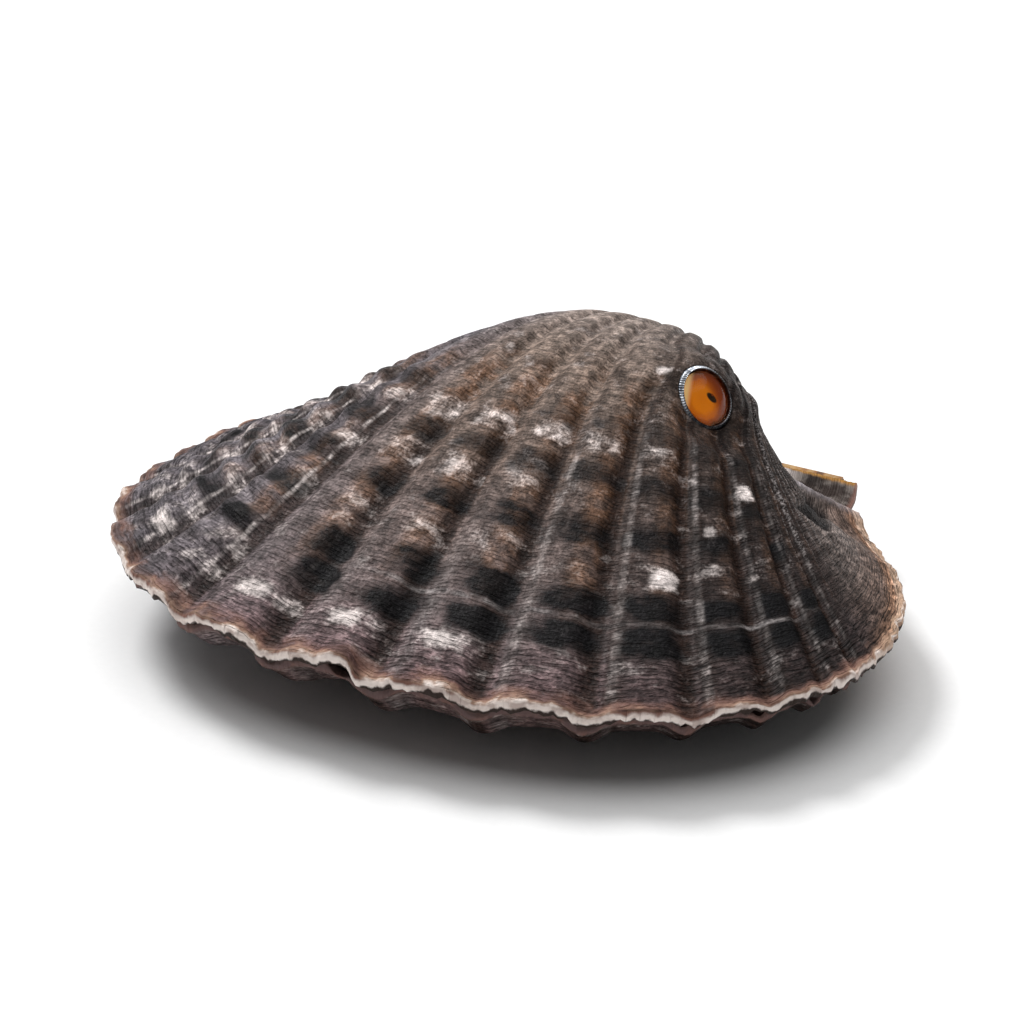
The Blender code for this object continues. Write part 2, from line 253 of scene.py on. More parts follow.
def rib_profile(share):
    """The height of a rib from -0.5 in its groove to 0.5 on its crest, by the share of its width."""
    wall = ramp(share, 0.02, RIB_WALL) * (1 - ramp(share, 1 - RIB_WALL, 0.98))
    crown = 0.06 * (1 - ((share - 0.5) / 0.2) ** 2)
    return wall * (0.94 + np.clip(crown, 0, None)) - 0.5


def rib_relief(turn, stage):
    """The ribs' height over the dome, zero where there are no ribs."""
    rib = rib_of(turn)
    number = np.floor(rib)
    width = turn_of(number + 1) - turn_of(number)
    widest = turn_of(RIB_MIDDLE + 0.5) - turn_of(RIB_MIDDLE - 0.5)
    ribbed = (rib > FIRST_GROOVE) & (rib < LAST_GROOVE)
    height = RIB_RELIEF * (width / widest) ** NARROW_RIB_FADE * rib_profile(rib - number)
    return np.where(ribbed, height, 0) * stage**YOUNG_RIB_FADE


def knobs(turn, stage):
    """Swellings along the left ribs, one at each pause in growth, out of step from rib to rib."""
    rib = rib_of(turn)
    number = np.floor(rib)
    on_crest = window(rib - number, 0.2, 0.8, 0.15)
    on_left = 1 - ramp(rib, 0.0, 2.0)
    grown = window(stage, 0.5, 0.94, 0.06)
    beat = np.cos(math.tau * (stage / KNOB_PITCH + 0.37 * number))
    return KNOB_RISE * on_crest * on_left * grown * beat * (rib > FIRST_GROOVE)


print("rib profile across one rib:", rib_profile(np.linspace(0, 1, 9)).round(2))

# %% Riblets, rest lines and the folds beside the ears
RIBLET_FLANK = (1.28, 1.72)  # radians of turn
RIBLET_PITCH = 0.047
RIBLET_RISE = 0.20 * MM
REST_STAGES = (0.33, 0.44, 0.535, 0.600, 0.645, 0.712, 0.765, 0.808, 0.848, 0.893, 0.932, 0.958, 0.981)
REST_DEPTH = 0.09 * MM
REST_WANDER = 0.004  # of the shell's growth
REST_SLOPES = {"inside": 0.003, "outside": 0.012}
FOLD_TURN = math.radians(127.5)
FOLD_RISE = 0.75 * MM
FURROW_TURN = math.radians(117)
FURROW_DEPTH = 0.45 * MM
FURROW_HOLLOW = 1.3 * MM  # its deeper middle part
POCKET_SINK = 0.6 * MM
EAR_SINK = 0.60 * MM


def riblets(turn, stage):
    """Fine threads on the steep right flank, which fade out on the smooth lobe in front of the ear."""
    flank = window(turn, *RIBLET_FLANK, 0.07)
    grown = ramp(stage, 0.12, 0.3) * (1 - ramp(stage, 0.70, 0.92))
    return -RIBLET_RISE * flank * grown * (0.5 - 0.5 * np.cos(math.tau * turn / RIBLET_PITCH)) * stage


def rest_lines(turn, stage):
    """Shallow steps where growth paused. Each dips just inside its line and comes back slowly."""
    wander = REST_WANDER * ripple(turn * 5, stage * 9)
    dip = 0
    for line in REST_STAGES:
        past = stage - line + wander
        dip = dip + np.exp(np.where(past > 0, -past / REST_SLOPES["outside"], past / REST_SLOPES["inside"]))
    return -REST_DEPTH * np.clip(dip, 0, 1.3)


def pocket(turn, stage):
    """1 in the hollow between the right flank and the ridge beside the ear, which gets painted shade."""
    start = 1.46 + 2.0 * (stage - 0.64)
    flank = ramp(turn - start, -0.03, 0.06) * window(stage, 0.645, 0.745, 0.02)
    foot = bump_at(turn, 2.12, 0.09) * window(stage, 0.70, 0.84, 0.03)
    return np.maximum(flank * (1 - ramp(turn, 2.00, 2.15)), foot)


def fold_relief(turn, ear, stage):
    """The furrow and ridge beside each ear, and the hollow of the ear itself."""
    beside = np.abs(turn)
    on_disc = beside < NOTCH_TURN + 0.001
    furrow = -FURROW_DEPTH * bump_at(beside, FURROW_TURN, 0.16)
    furrow = furrow - FURROW_HOLLOW * bump_at(beside, FURROW_TURN, 0.24) * window(stage, 0.40, 0.80, 0.14)
    ridge = FOLD_RISE * bump_at(beside, FOLD_TURN, 0.075)
    hollow = -EAR_SINK * window(ear, 0.10, 0.78, 0.16)
    return (np.where(on_disc, furrow, hollow) + ridge) * stage - POCKET_SINK * pocket(turn, stage)


print(len(REST_STAGES), "rest lines and", int(np.ptp(RIBLET_FLANK) / RIBLET_PITCH), "riblets")

# %% [markdown]
# ## The seat of the eye
# The shell near the eye is turned a little towards the way that the eye looks, and the cup sits in a blind
# round socket. A Boolean could cut the socket, but it would leave ragged shading on a dense mesh. Moving
# points is cleaner: those near the socket's edge snap onto its circle, and those inside sink to its floor.

# %% The seat of the eye
EYE_PLACE = np.array((11.95, -17.4, 13.7)) * MM
EYE_AXIS = np.array(Vector((0.769, -0.286, 0.571)).normalized())
EYE_UP = Vector((-0.525, 0.164, 0.832))
LENS_RADIUS = 2.48 * MM
CUP_RADIUS = 3.00 * MM
SOCKET_RADIUS = CUP_RADIUS + 0.08 * MM
SOCKET_DEPTH = 1.9 * MM
SOCKET_WALL = 1.0 * MM
SEAT_REACH = 7.0 * MM
SEAT_SHARE = 0.80
SNAP = 0.16 * MM


def from_eye(points):
    """Height along the eye's axis, and the arrow and distance from that axis."""
    offset = points - EYE_PLACE
    height = offset @ EYE_AXIS
    arrow = offset - height[..., None] * EYE_AXIS
    return height, arrow, np.linalg.norm(arrow, axis=-1)


def turned_to_eye(points):
    height, _, across = from_eye(points)
    weight = 1 - ramp(across, CUP_RADIUS, SEAT_REACH)
    return points - EYE_AXIS * (height * weight * SEAT_SHARE)[..., None]


def with_socket(points):
    height, arrow, across = from_eye(points)
    near = (np.abs(height) < SEAT_REACH) & (across < SOCKET_RADIUS + SNAP)
    edge = near & (across > SOCKET_RADIUS - SNAP)
    inside = near & (across <= SOCKET_RADIUS - SNAP)
    snapped = points + arrow * (SOCKET_RADIUS / np.maximum(across, 1e-6) - 1)[..., None]
    sunk = points - EYE_AXIS * (height + SOCKET_DEPTH)[..., None]
    points = np.where(edge[..., None], snapped, points)
    return np.where(inside[..., None], sunk, points)


def kept_behind_socket(points):
    height, _, across = from_eye(points)
    limit = -SOCKET_DEPTH - SOCKET_WALL + 1.2 * np.maximum(0, across - SOCKET_RADIUS - SOCKET_WALL)
    return points - EYE_AXIS * np.maximum(0, height - limit)[..., None]


print("socket is", round(2 * SOCKET_RADIUS / MM, 2), "mm across")

# %% [markdown]
# ## The outside of a valve
# The dome comes first. Its normals are the cross product of the directions along a row and along a column,
# which numpy's gradient gives. Relief is then added along them. The lower valve grows by the same law,
# mirrored, and its relief is turned over: where the upper valve has a crest at the margin, the lower one has
# a groove, so that the two edges interlock.
#
# No shell is quite even. The upper valve has a rounded shoulder behind the eye, a small brow on the right
# flank and a dip on the left. Its edge is bent up in front, where it is broken. The lower valve's rim swells
# out under the upper one. All of it is added here, before the edge is made ragged.

# %% Uneven places
EDGE_RAGGED = 0.20 * MM
SKIN_RIPPLE = 0.05 * MM
SHOULDER_RISE = 0.85 * MM
BROW_RISE = 0.5 * MM
LEFT_DIP = 0.6 * MM
LOWER_BULGE = 1.1 * MM
BROKEN_TURN = -0.03  # where the edge is broken and bent up
BROKEN_LIFT = 0.85 * MM


def swollen_rim(turn, ear, stage):
    """The swelling of the lower valve's rim, less where the edge above it is broken."""
    bulge = ramp(1 - stage, 0.0, 0.055) * (1 - ramp(1 - stage, 0.10, 0.45))
    bulge = bulge * (1 + 0.4 * bump_at(turn, 0.30, 0.45)) * (1 - 0.8 * bump_at(turn, BROKEN_TURN, 0.10))
    return LOWER_BULGE * bulge * (1 - ramp(ear, 0.0, 0.3))


def uneven_dome(turn, stage):
    """The shoulder, brow and dip of the upper valve."""
    shoulder = SHOULDER_RISE * bump_at(turn, 1.15, 0.95) * bump_at(stage, 0.31, 0.26)
    brow = BROW_RISE * bump_at(turn, 1.40, 0.14) * bump_at(stage, 0.385, 0.06)
    return shoulder + brow - LEFT_DIP * bump_at(turn, -1.60, 0.40) * ramp(stage, 0.8, 1.0)


def ragged_edge(turn, stage, side):
    """How far the edge is worn back from its outline, more unevenly towards the margin."""
    rough = ripple(turn * 33, stage * 0 + side) + 0.7 * ripple(turn * 95, stage * 0 + 3 * side)
    worn = EDGE_RAGGED * (1 + rough * ramp(stage, 0.965, 1.0))
    return np.where(np.abs(turn) < 3, worn, 0)


print("the rim swells by", round(float(swollen_rim(0.0, 0.0, 0.94)) / MM, 2), "mm at the front")

# %% The outside of a valve
def normals_of(points):
    normals = np.cross(np.gradient(points, axis=0), np.gradient(points, axis=1))
    normals /= np.linalg.norm(normals, axis=-1, keepdims=True) + 1e-15
    return normals * (1 if normals[..., 2].mean() > 0 else -1)


def outside(valve):
    """Points of the outside, a row for each stage and a column for each point of the margin."""
    columns = margin(valve["size"])
    stage = growth_stages(valve)[:, None]
    turn, ear = columns["turn"][None, :], columns["ear"][None, :]
    dome = grow(valve, columns["across"][None, :], columns["ahead"][None, :], stage)
    dome[..., 2] += LIP
    if valve is LOWER:
        dome[..., 2] += swollen_rim(turn, ear, stage)
    else:
        dome[..., 2] += BROKEN_LIFT * bump_at(turn, BROKEN_TURN, 0.07) * ramp(stage, 0.955, 1.0)
    rise = rib_relief(turn, stage) * valve["side"]
    rise = rise + fold_relief(turn, ear, stage) + rest_lines(turn, stage)
    if valve is UPPER:
        rise = rise + knobs(turn, stage) + riblets(turn, stage) + uneven_dome(turn, stage)
    rise = rise + SKIN_RIPPLE * ripple(turn * 21, stage * 40) * stage
    outwards = np.stack([np.sin(turn), -np.cos(turn), 0 * turn], axis=-1)
    points = dome + normals_of(dome) * rise[..., None]
    points = points - outwards * ragged_edge(turn, stage, valve["side"])[..., None]
    if valve is UPPER:
        points = with_socket(turned_to_eye(points))
    return points, columns, stage


print("ribs rise", round(float(np.ptp(rib_relief(turn_of([3.0, 3.5]), 1.0))) / MM, 2), "mm at the front")

# %% [markdown]
# ## Lip, ledge and cavity
# A valve is thin, so its mesh goes on from the margin: down over the lip, in over a ledge and up the wall of
# the cavity, one ring of points after another, and a last face closes it. Each ring has as many points as
# the rim, so neighbouring rings join into four-sided faces. Chips lift the lip where an edge has broken away.

# %% The lip
CHIPS = (  # turn of the margin, half width in radians, height
    (-0.985, 0.050, 0.50 * MM),
    (-0.030, 0.060, 0.85 * MM),
    (-0.450, 0.035, 0.34 * MM),
    (1.060, 0.034, 0.45 * MM),
    (1.215, 0.030, 0.45 * MM),
    (1.550, 0.030, 0.40 * MM),
    (-1.300, 0.025, 0.22 * MM),
    (-0.610, 0.020, 0.20 * MM),
    (0.300, 0.018, 0.14 * MM),
    (0.985, 0.030, 0.22 * MM),
    (1.230, 0.020, 0.20 * MM),
)
LIP_WAVE = 0.9  # share of the ribs' height that the lip's lower edge follows
LIP_RAGGED = 0.20 * MM
LIP_GAP = 0.03 * MM
LIP_LEAST = 0.25 * MM
LIP_ROUND = 0.12 * MM
LIP_RINGS = (0.35, 0.7, 1.0)


def lip_foot(valve, rim_points, turn, on_margin):
    """The lower edge of the lip, wavy with the ribs, ragged and chipped."""
    wave = np.where(on_margin, rib_relief(turn, 1.0) * valve["side"], 0)
    chips = sum(height * bump_at(turn, middle, reach) for middle, reach, height in CHIPS)
    torn = LIP_RAGGED * (ripple(turn * 47, valve["side"]) + ripple(turn * 110, 5.0))
    height = LIP_GAP + LIP_WAVE * wave + np.where(on_margin, chips + torn, 0)
    foot = rim_points.copy()
    foot[:, 2] = np.minimum(height, rim_points[:, 2] - LIP_LEAST)
    return foot, wave


print(len(CHIPS), "chips, the highest of", round(max(chip[2] for chip in CHIPS) / MM, 2), "mm")

# %% Rings from the rim to the cavity
CAVITY_CENTRE = 29.4 * MM
CAVITY_HALF_WIDTH = 33.0 * MM
CAVITY_HALF_HEIGHT = 25.8 * MM
CAVITY_STAGES = (1.0, 0.92, 0.80, 0.66, 0.51, 0.36)
LEDGE_WAVE = 0.5


def rim_loop(rows, columns):
    """Indices of the rim, round the margin from left to right and back along the hinge line."""
    index = np.arange(rows * columns).reshape(rows, columns)
    return np.concatenate([index[-1], index[-2::-1, -1], index[:-1, 0]])


def cavity_ring(valve, heading, stage):
    reach = 1 / np.hypot(np.sin(heading) / CAVITY_HALF_WIDTH, np.cos(heading) / CAVITY_HALF_HEIGHT)
    across = DISC_SHIFT + reach * np.sin(heading)
    ahead = CAVITY_CENTRE + reach * np.cos(heading)
    ring = grow(valve, across, ahead, np.float64(stage), valve["flatness"])
    ring[..., 2] += GAP / 2
    return kept_behind_socket(ring) if valve is UPPER else ring


def inner_rings(valve, rim_points, turn, on_margin):
    """Rings of points from the rim inwards, each with its place: up to 1 on the lip, and 2 inside."""
    heading = np.arctan2(rim_points[:, 0] - DISC_SHIFT, -rim_points[:, 1] - CAVITY_CENTRE)
    foot, wave = lip_foot(valve, rim_points, turn, on_margin)
    rings = []
    for share in LIP_RINGS:
        ring = rim_points + (foot - rim_points) * share
        bulge = LIP_ROUND * math.sin(math.pi * share)
        ring[:, 0] += bulge * np.sin(heading)
        ring[:, 1] -= bulge * np.cos(heading)
        rings.append((ring, share))
    for stage in CAVITY_STAGES:
        ring = cavity_ring(valve, heading, stage)
        if stage == 1.0:
            ring[:, 2] += LEDGE_WAVE * wave
        rings.append((ring, 2.0))
    return rings


print(len(LIP_RINGS) + len(CAVITY_STAGES), "rings inside the rim")

# %% [markdown]
# Every point also stores where it is on the animal: its rib position, its turn, its stage of growth, its age
# as a distance from the beak, its place on the ear and its place on the lip. Materials read these, so that
# markings follow the growth of the shell, and not the corners of a box around it.
#
# Points are kept inside the box of the solid that the mesh stands for. Under the lower valve this also makes
# the worn flats that the shell rests on.

# %% The closed surface of a valve
def joined_rings(first, second):
    """Four-sided faces between two closed rings of point numbers."""
    return np.stack([first, np.roll(first, -1), np.roll(second, -1), second], axis=1)


def valve_surface(valve):
    """All points and faces of a valve, and what its materials need to know about each point."""
    points, columns, stage = outside(valve)
    rows, count = points.shape[:2]
    steps = np.linalg.norm(np.diff(points, axis=0), axis=2)
    age = np.concatenate([[0], np.cumsum(np.median(steps, axis=1))])[:, None] / MM
    known = {"turn": columns["turn"], "ear": columns["ear"], "stage": stage, "age": age}
    known = {key: np.broadcast_to(values, (rows, count)).reshape(-1) for key, values in known.items()}
    known["rib"] = rib_of(known["turn"])

    index = np.arange(rows * count).reshape(rows, count)
    rim = rim_loop(rows, count)
    flat = points.reshape(-1, 3)
    corners = (index[:-1, :-1], index[:-1, 1:], index[1:, 1:], index[1:, :-1])
    quads = [np.stack(corners, axis=-1).reshape(-1, 4)]
    parts, lips, previous = [flat], [np.zeros(len(flat))], rim
    for ring, place in inner_rings(valve, flat[rim], known["turn"][rim], known["stage"][rim] == 1):
        numbers = sum(len(part) for part in parts) + np.arange(len(ring))
        quads.append(joined_rings(previous, numbers))
        parts.append(ring)
        lips.append(np.full(len(ring), place))
        previous = numbers
    data = {key: np.concatenate([values, *[values[rim]] * (len(parts) - 1)]) for key, values in known.items()}
    data["lip"] = np.concatenate(lips)
    faces = np.concatenate(quads).tolist() + [index[0][::-1].tolist(), previous.tolist()]
    return np.concatenate(parts), faces, data


print("a face between two rings:", joined_rings(np.arange(4), np.arange(4, 8))[0])

# %% Meshes and pieces
def mesh_of(name, points, faces):
    mesh = bpy.data.meshes.new(name)
    mesh.from_pydata(points, [], faces)
    return mesh


def signed_volume(mesh):
    mesh.calc_loop_triangles()
    corners = np.array([mesh.vertices[i].co[:] for t in mesh.loop_triangles for i in t.vertices])
    a, b, c = corners.reshape(-1, 3, 3).transpose(1, 0, 2)
    return float(np.einsum("ij,ij->i", a, np.cross(b, c)).sum() / 6)


def faced_outwards(mesh, sharp_angle):
    """Shades a closed mesh smooth, with its faces outwards and its edges sharp past an angle."""
    if signed_volume(mesh) < 0:
        mesh.flip_normals()
    mesh.shade_smooth()
    mesh.set_sharp_from_angle(angle=sharp_angle)


def store(mesh, name, values):
    """One number for each point of a mesh."""
    made = mesh.attributes.new(name, "FLOAT", "POINT")
    made.data.foreach_set("value", np.asarray(values, np.float32))


def in_scene(name, data):
    """A new object that is part of the scene."""
    made = bpy.data.objects.new(name, data)
    scene.collection.objects.link(made)
    return made


def riding_piece(mesh, solid):
    """A piece that stands in for a solid of the frame: it rides on its body, and the solid is hidden."""
    piece = in_scene(mesh.name, mesh)
    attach(piece, "root")
    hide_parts(solid)
    return piece


# %% Build both valves
VALVE_SHARP_ANGLE = math.radians(60)


def build_valve(name, valve, solid):
    points, faces, data = valve_surface(valve)
    points[:, 2] *= valve["side"]
    low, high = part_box(solid)
    places = points @ np.array(shell_frame.to_3x3()).T + np.array(shell_frame.translation)
    mesh = mesh_of(name, np.clip(places, low, high).tolist(), faces)
    for key, values in data.items():
        store(mesh, key, values)
    mesh.validate()
    faced_outwards(mesh, VALVE_SHARP_ANGLE)
    print(name, len(mesh.loop_triangles), "triangles,", round(signed_volume(mesh) * 1e9), "mm3")
    return riding_piece(mesh, solid)


upper_valve = build_valve("upper_valve_shell", UPPER, "upper_valve")
lower_valve = build_valve("lower_valve_shell", LOWER, "lower_valve")

# %% [markdown]
# ## Node helpers
# Colours are written as they look on a screen, from 0 to 255, and turned into the linear light that shaders
# work in. A material is a long list of nodes, so small helpers keep it readable: each makes one kind of node
# and gives its output, and finds the node tree from the sockets that it is given.

# %% Colours
def paint(red, green, blue):
    """A screen colour as linear light."""
    shares = [c / 255 for c in (red, green, blue)]
    return (*[c / 12.92 if c <= 0.04045 else ((c + 0.055) / 1.055) ** 2.4 for c in shares], 1.0)


def grey(value):
    return (value, value, value, 1.0)


print("white is", paint(255, 255, 255))

# %% Nodes
def is_socket(value):
    return isinstance(value, bpy.types.NodeSocket)


def tree_of(*values):
    """The node tree of the first socket among some values."""
    return next(value.id_data for value in values if is_socket(value))


def fill(sockets, values):
    """Links a value to each named socket where it is a socket itself, and else sets it."""
    for key, value in values.items():
        if is_socket(value):
            value.id_data.links.new(value, sockets[key])
        else:
            sockets[key].default_value = value


def node(tree, kind, inputs=None, **settings):
    made = tree.nodes.new(kind)
    for key, value in settings.items():
        setattr(made, key, value)
    fill(made.inputs, inputs or {})
    return made


def measure(tree, name):
    """A number that the mesh stores for each of its points."""
    return node(tree, "ShaderNodeAttribute", attribute_name=name).outputs["Fac"]


def object_place(tree):
    return node(tree, "ShaderNodeTexCoord").outputs["Object"]


def noise(place, scale, detail=2.0):
    inputs = {"Vector": place, "Scale": scale, "Detail": detail}
    return node(place.id_data, "ShaderNodeTexNoise", inputs).outputs["Fac"]


def bumped(height, strength, distance):
    """Normals tilted by a height."""
    inputs = {"Height": height, "Strength": strength, "Distance": distance}
    return node(height.id_data, "ShaderNodeBump", inputs).outputs["Normal"]


def material_of(name, look_of, *choices):
    """A material. Its look gives a value or an output for each named input of the Principled shader."""
    material = bpy.data.materials.new(name)
    material.use_nodes = True
    tree = material.node_tree
    fill(tree.nodes["Principled BSDF"].inputs, look_of(tree, *choices))
    print(name, "has", len(tree.nodes), "nodes")
    return material


print("a bare number is a socket:", is_socket(1.0))

# %% Sums, ramps and mixes
def maths(operation, *values):
    return node(tree_of(*values), "ShaderNodeMath", dict(enumerate(values)), operation=operation).outputs[0]


def times(*values):
    return reduce(lambda total, value: maths("MULTIPLY", total, value), values)


def plus(*values):
    return reduce(lambda total, value: maths("ADD", total, value), values)


def ramped(value, start, end, low=0.0, high=1.0):
    """The value carried softly from low to high between start and end."""
    inputs = {"Value": value, "From Min": start, "From Max": end, "To Min": low, "To Max": high}
    return node(value.id_data, "ShaderNodeMapRange", inputs, interpolation_type="SMOOTHSTEP").outputs[0]


def between(value, start, full, fade, end):
    """0 up to the start, 1 from full to fade, and 0 again past the end."""
    return times(ramped(value, start, full), ramped(value, fade, end, 1.0, 0.0))


def centred(value, amount):
    """A noise value moved from 0.5 to lie about 0, and scaled."""
    return maths("MULTIPLY_ADD", value, amount, -0.5 * amount)


def colours(value, stops, interpolation="EASE"):
    """A colour ramp with (position, colour) stops."""
    made = node(value.id_data, "ShaderNodeValToRGB", {"Fac": value})
    made.color_ramp.interpolation = interpolation
    for position, _ in stops[1:-1]:
        made.color_ramp.elements.new(position)
    for element, (position, colour) in zip(made.color_ramp.elements, stops):
        element.position = position
        element.color = colour
    return made.outputs[0]


def mixed(share, first, second, blend="MIX"):
    inputs = {0: share, 6: first, 7: second}
    tree = tree_of(share, first, second)
    return node(tree, "ShaderNodeMix", inputs, data_type="RGBA", blend_type=blend).outputs[2]


def layered(colour, *layers):
    """A colour under layers of others. Each layer is its share and its colour."""
    for share, cover in layers:
        colour = mixed(share, colour, cover)
    return colour


def shaded(colour, value, low, high):
    """A colour multiplied by a grey that goes from low to high."""
    return mixed(1.0, colour, colours(value, [(0.0, grey(low)), (1.0, grey(high))], "LINEAR"), "MULTIPLY")


print("mid grey is", grey(0.5))

# %% [markdown]
# Two effects are used by more than one material, so each is a node group with named inputs and outputs. In
# this version of Blender a group's sockets are made through its interface.

# %% Node groups
NUMBER = "NodeSocketFloat"


def new_group(name, inputs, outputs):
    """A group of nodes, with its input sockets and its output sockets."""
    group = bpy.data.node_groups.new(name, "ShaderNodeTree")
    for socket, value in inputs.items():
        group.interface.new_socket(socket, in_out="INPUT", socket_type=NUMBER).default_value = value
    for socket in outputs:
        group.interface.new_socket(socket, in_out="OUTPUT", socket_type=NUMBER)
    return group, group.nodes.new("NodeGroupInput").outputs, group.nodes.new("NodeGroupOutput").inputs


def placed(tree, group, **inputs):
    """The outputs of a group placed in a tree. Spaces in a socket's name are written as underscores."""
    made = node(tree, "ShaderNodeGroup", node_tree=group)
    fill(made.inputs, {key.replace("_", " "): value for key, value in inputs.items()})
    return made.outputs


print("groups carry", NUMBER)

# %% [markdown]
# ## Growth lines, a shared effect
# A scallop is covered with fine lines parallel to its margin, two or three to a millimetre, and crossed by
# finer threads that run along the ribs. Together they look woven. A plain sine wave would look like cloth, so
# noise breaks each line into short cuts and lets it wander. More noise, stretched along the ribs, makes the
# threads. A finer one adds grain, and a wide one shades whole bands.
#
# Both valves and the ligament use this at their own spacing, so it is one node group with its own inputs.

# %% Growth lines
GROWTH_EFFECTS = ("Lines", "Grain", "Threads", "Broad")
NOISE_SPREAD = (0.34, 0.66)  # most noise lies between these, and is spread out to fill 0 to 1


def woven(across, along, rate_across, rate_along, detail=2.0):
    """Noise stretched differently across and along the growth."""
    inputs = {0: times(across, rate_across), 1: times(along, rate_along)}
    place = node(across.id_data, "ShaderNodeCombineXYZ", inputs).outputs[0]
    return ramped(noise(place, 1.0, detail), *NOISE_SPREAD)


growth_lines, given, made = new_group(
    "growth lines",
    {"Across mm": 0.0, "Along mm": 0.0, "Lines per mm": 3.0, "Wander": 0.3},
    GROWTH_EFFECTS,
)
across, along = given["Across mm"], given["Along mm"]
swerve = maths("SUBTRACT", woven(across, along, 0.35, 0.30), 0.5)
paced = maths("MULTIPLY_ADD", swerve, times(given["Wander"], 0.5), along)
paced = times(paced, given["Lines per mm"])
wave = maths("SINE", times(paced, math.tau))
broken = ramped(woven(across, paced, 0.7, 0.9, 3.0), 0.30, 0.75)
cut = times(ramped(wave, -1.0, -0.1, 1.0, 0.0), broken)
soft = ramped(woven(across, paced, 0.8, 0.7), 0.0, 1.0, 0.50, 1.0)
effects = {
    "Lines": ramped(maths("MULTIPLY_ADD", cut, -0.8, soft), 0.0, 1.0),
    "Grain": woven(across, along, 3.2, 3.8, 3.0),
    "Threads": woven(across, along, 1.5, 0.45),
    "Broad": woven(across, along, 0.30, 0.75, 3.0),
}
fill(made, effects)
print("growth lines has", len(growth_lines.nodes), "nodes")

# %% [markdown]
# ## Across a rib, a shared effect
# Colour changes across each rib. The groove and the right wall beside it are painted darker, as painted shade.
# The wall that faces left is painted lighter on the front ribs, as painted light from the upper left, and
# darker further right, as painted shade; it reaches from the groove up to the edge of the crest. A thin pale
# line runs along the left edge of the crests on the right half of the disc, a painted highlight, and along
# their right edge on the left half. The side of the crest that faces right is warmer. The fraction of the rib
# position gives these zones as masks.

# %% Zones across a rib
rib_zones, given, made = new_group(
    "rib zones", {"Rib": 0.0, "Ribbed": 1.0}, ("Groove", "Pale wall", "Edge line", "Warm side")
)
share = maths("FRACT", given["Rib"])
on_right_half = times(ramped(given["Rib"], 3.6, 4.4, 0.0, 0.42), ramped(given["Rib"], 5.8, 7.2, 1.0, 0.35))
# painted highlight: a thin pale line along the left edge of the crests on the right half
left_line = times(between(share, 0.12, 0.18, 0.20, 0.27), on_right_half)
right_line = times(between(share, 0.80, 0.84, 0.84, 0.88), ramped(given["Rib"], 1.0, 2.0, 1.0, 0.0))
masks = {
    "Groove": maths("MAXIMUM", ramped(share, 0.74, 0.95), ramped(share, 0.02, 0.10, 1.0, 0.0)),
    "Pale wall": between(share, 0.06, 0.16, 0.22, 0.40),
    "Edge line": plus(left_line, right_line),
    "Warm side": between(share, 0.45, 0.65, 0.84, 0.96),
}
fill(made, {name: times(mask, given["Ribbed"]) for name, mask in masks.items()})
print("rib zones has", len(rib_zones.nodes), "nodes")

# %% [markdown]
# ## Markings
# The blotches of a scallop come from growth: the margin lays down dark shell for a while, then pale shell,
# round the whole disc, and each rib does so a little differently. So the markings are rows. Each row sits at
# a stage of growth and puts one blotch on every rib from its first to its last, moved and weakened by chance.
# A few stand-alone spots follow.
#
# A blotch is stored on the mesh as a hill: 1 in its middle and 0 at its edge. The material adds noise to that
# hill before it is turned into colour, so its edge is ragged however coarse the mesh is.

# %% Rows of markings
ROWS = (  # tone, stage on rib 1, drift of stage per rib, half height, first rib, last rib, strength
    ("dark", 0.538, 0.001, 0.022, 3, 6, 0.55),
    ("dark", 0.612, 0.005, 0.025, 1, 6, 0.90),
    ("dark", 0.699, 0.004, 0.026, 1, 6, 0.90),
    ("dark", 0.812, 0.003, 0.029, 1, 8, 1.10),
    ("dark", 0.869, 0.003, 0.033, 1, 8, 1.15),
    ("dark", 0.532, 0.0, 0.020, -5, 0, 0.90),
    ("dark", 0.609, 0.0, 0.024, -5, 0, 1.05),
    ("dark", 0.688, 0.0, 0.023, -5, 0, 0.95),
    ("dark", 0.759, 0.0, 0.019, -5, 0, 0.70),
    ("dark", 0.836, 0.0, 0.024, -5, 0, 0.90),
    ("pale", 0.572, 0.0, 0.026, -5, 0, 0.55),
    ("pale", 0.572, 0.0005, 0.024, 1, 3, 0.66),
    ("pale", 0.574, 0.0, 0.022, 4, 5, 0.58),
    ("pale", 0.650, 0.0, 0.026, -5, 3, 0.46),
    ("pale", 0.724, 0.0, 0.024, -5, -1, 0.42),
    ("pale", 0.750, 0.002, 0.026, 0, 3, 0.32),
    ("pale", 0.760, 0.0, 0.016, 4, 6, 0.30),
    ("pale", 0.796, 0.0, 0.022, -5, -1, 0.42),
    ("pale", 0.874, 0.0, 0.024, -5, 0, 0.38),
    ("pale", 0.920, 0.0, 0.022, -5, 3, 0.42),
)
SPOTS = (  # tone, rib position, stage, half sizes in ribs and in growth, strength
    ("pale", 5.70, 0.777, 0.25, 0.019, 1.25),
    ("pale", 7.45, 0.620, 0.30, 0.017, 0.9),
    ("pale", 6.42, 0.694, 0.15, 0.012, 1.0),
    ("pale", -0.28, 0.922, 0.25, 0.018, 0.85),
    ("pale", 1.55, 0.923, 0.24, 0.018, 0.88),
    ("pale", 2.50, 0.922, 0.22, 0.018, 0.88),
    ("pale", 3.47, 0.921, 0.22, 0.018, 0.85),
    ("pale", 5.30, 0.925, 0.20, 0.015, 0.6),
    ("pale", 5.00, 0.425, 0.20, 0.009, 0.9),
    ("dark", 7.62, 0.655, 0.44, 0.019, 0.9),
    ("dark", 8.10, 0.728, 0.28, 0.023, 1.2),
    ("dark", 7.50, 0.565, 0.44, 0.022, 0.7),
    ("dark", 6.55, 0.540, 0.40, 0.022, 0.5),
)
print(sum(row[5] - row[4] + 1 for row in ROWS), "blotches in rows and", len(SPOTS), "spots")

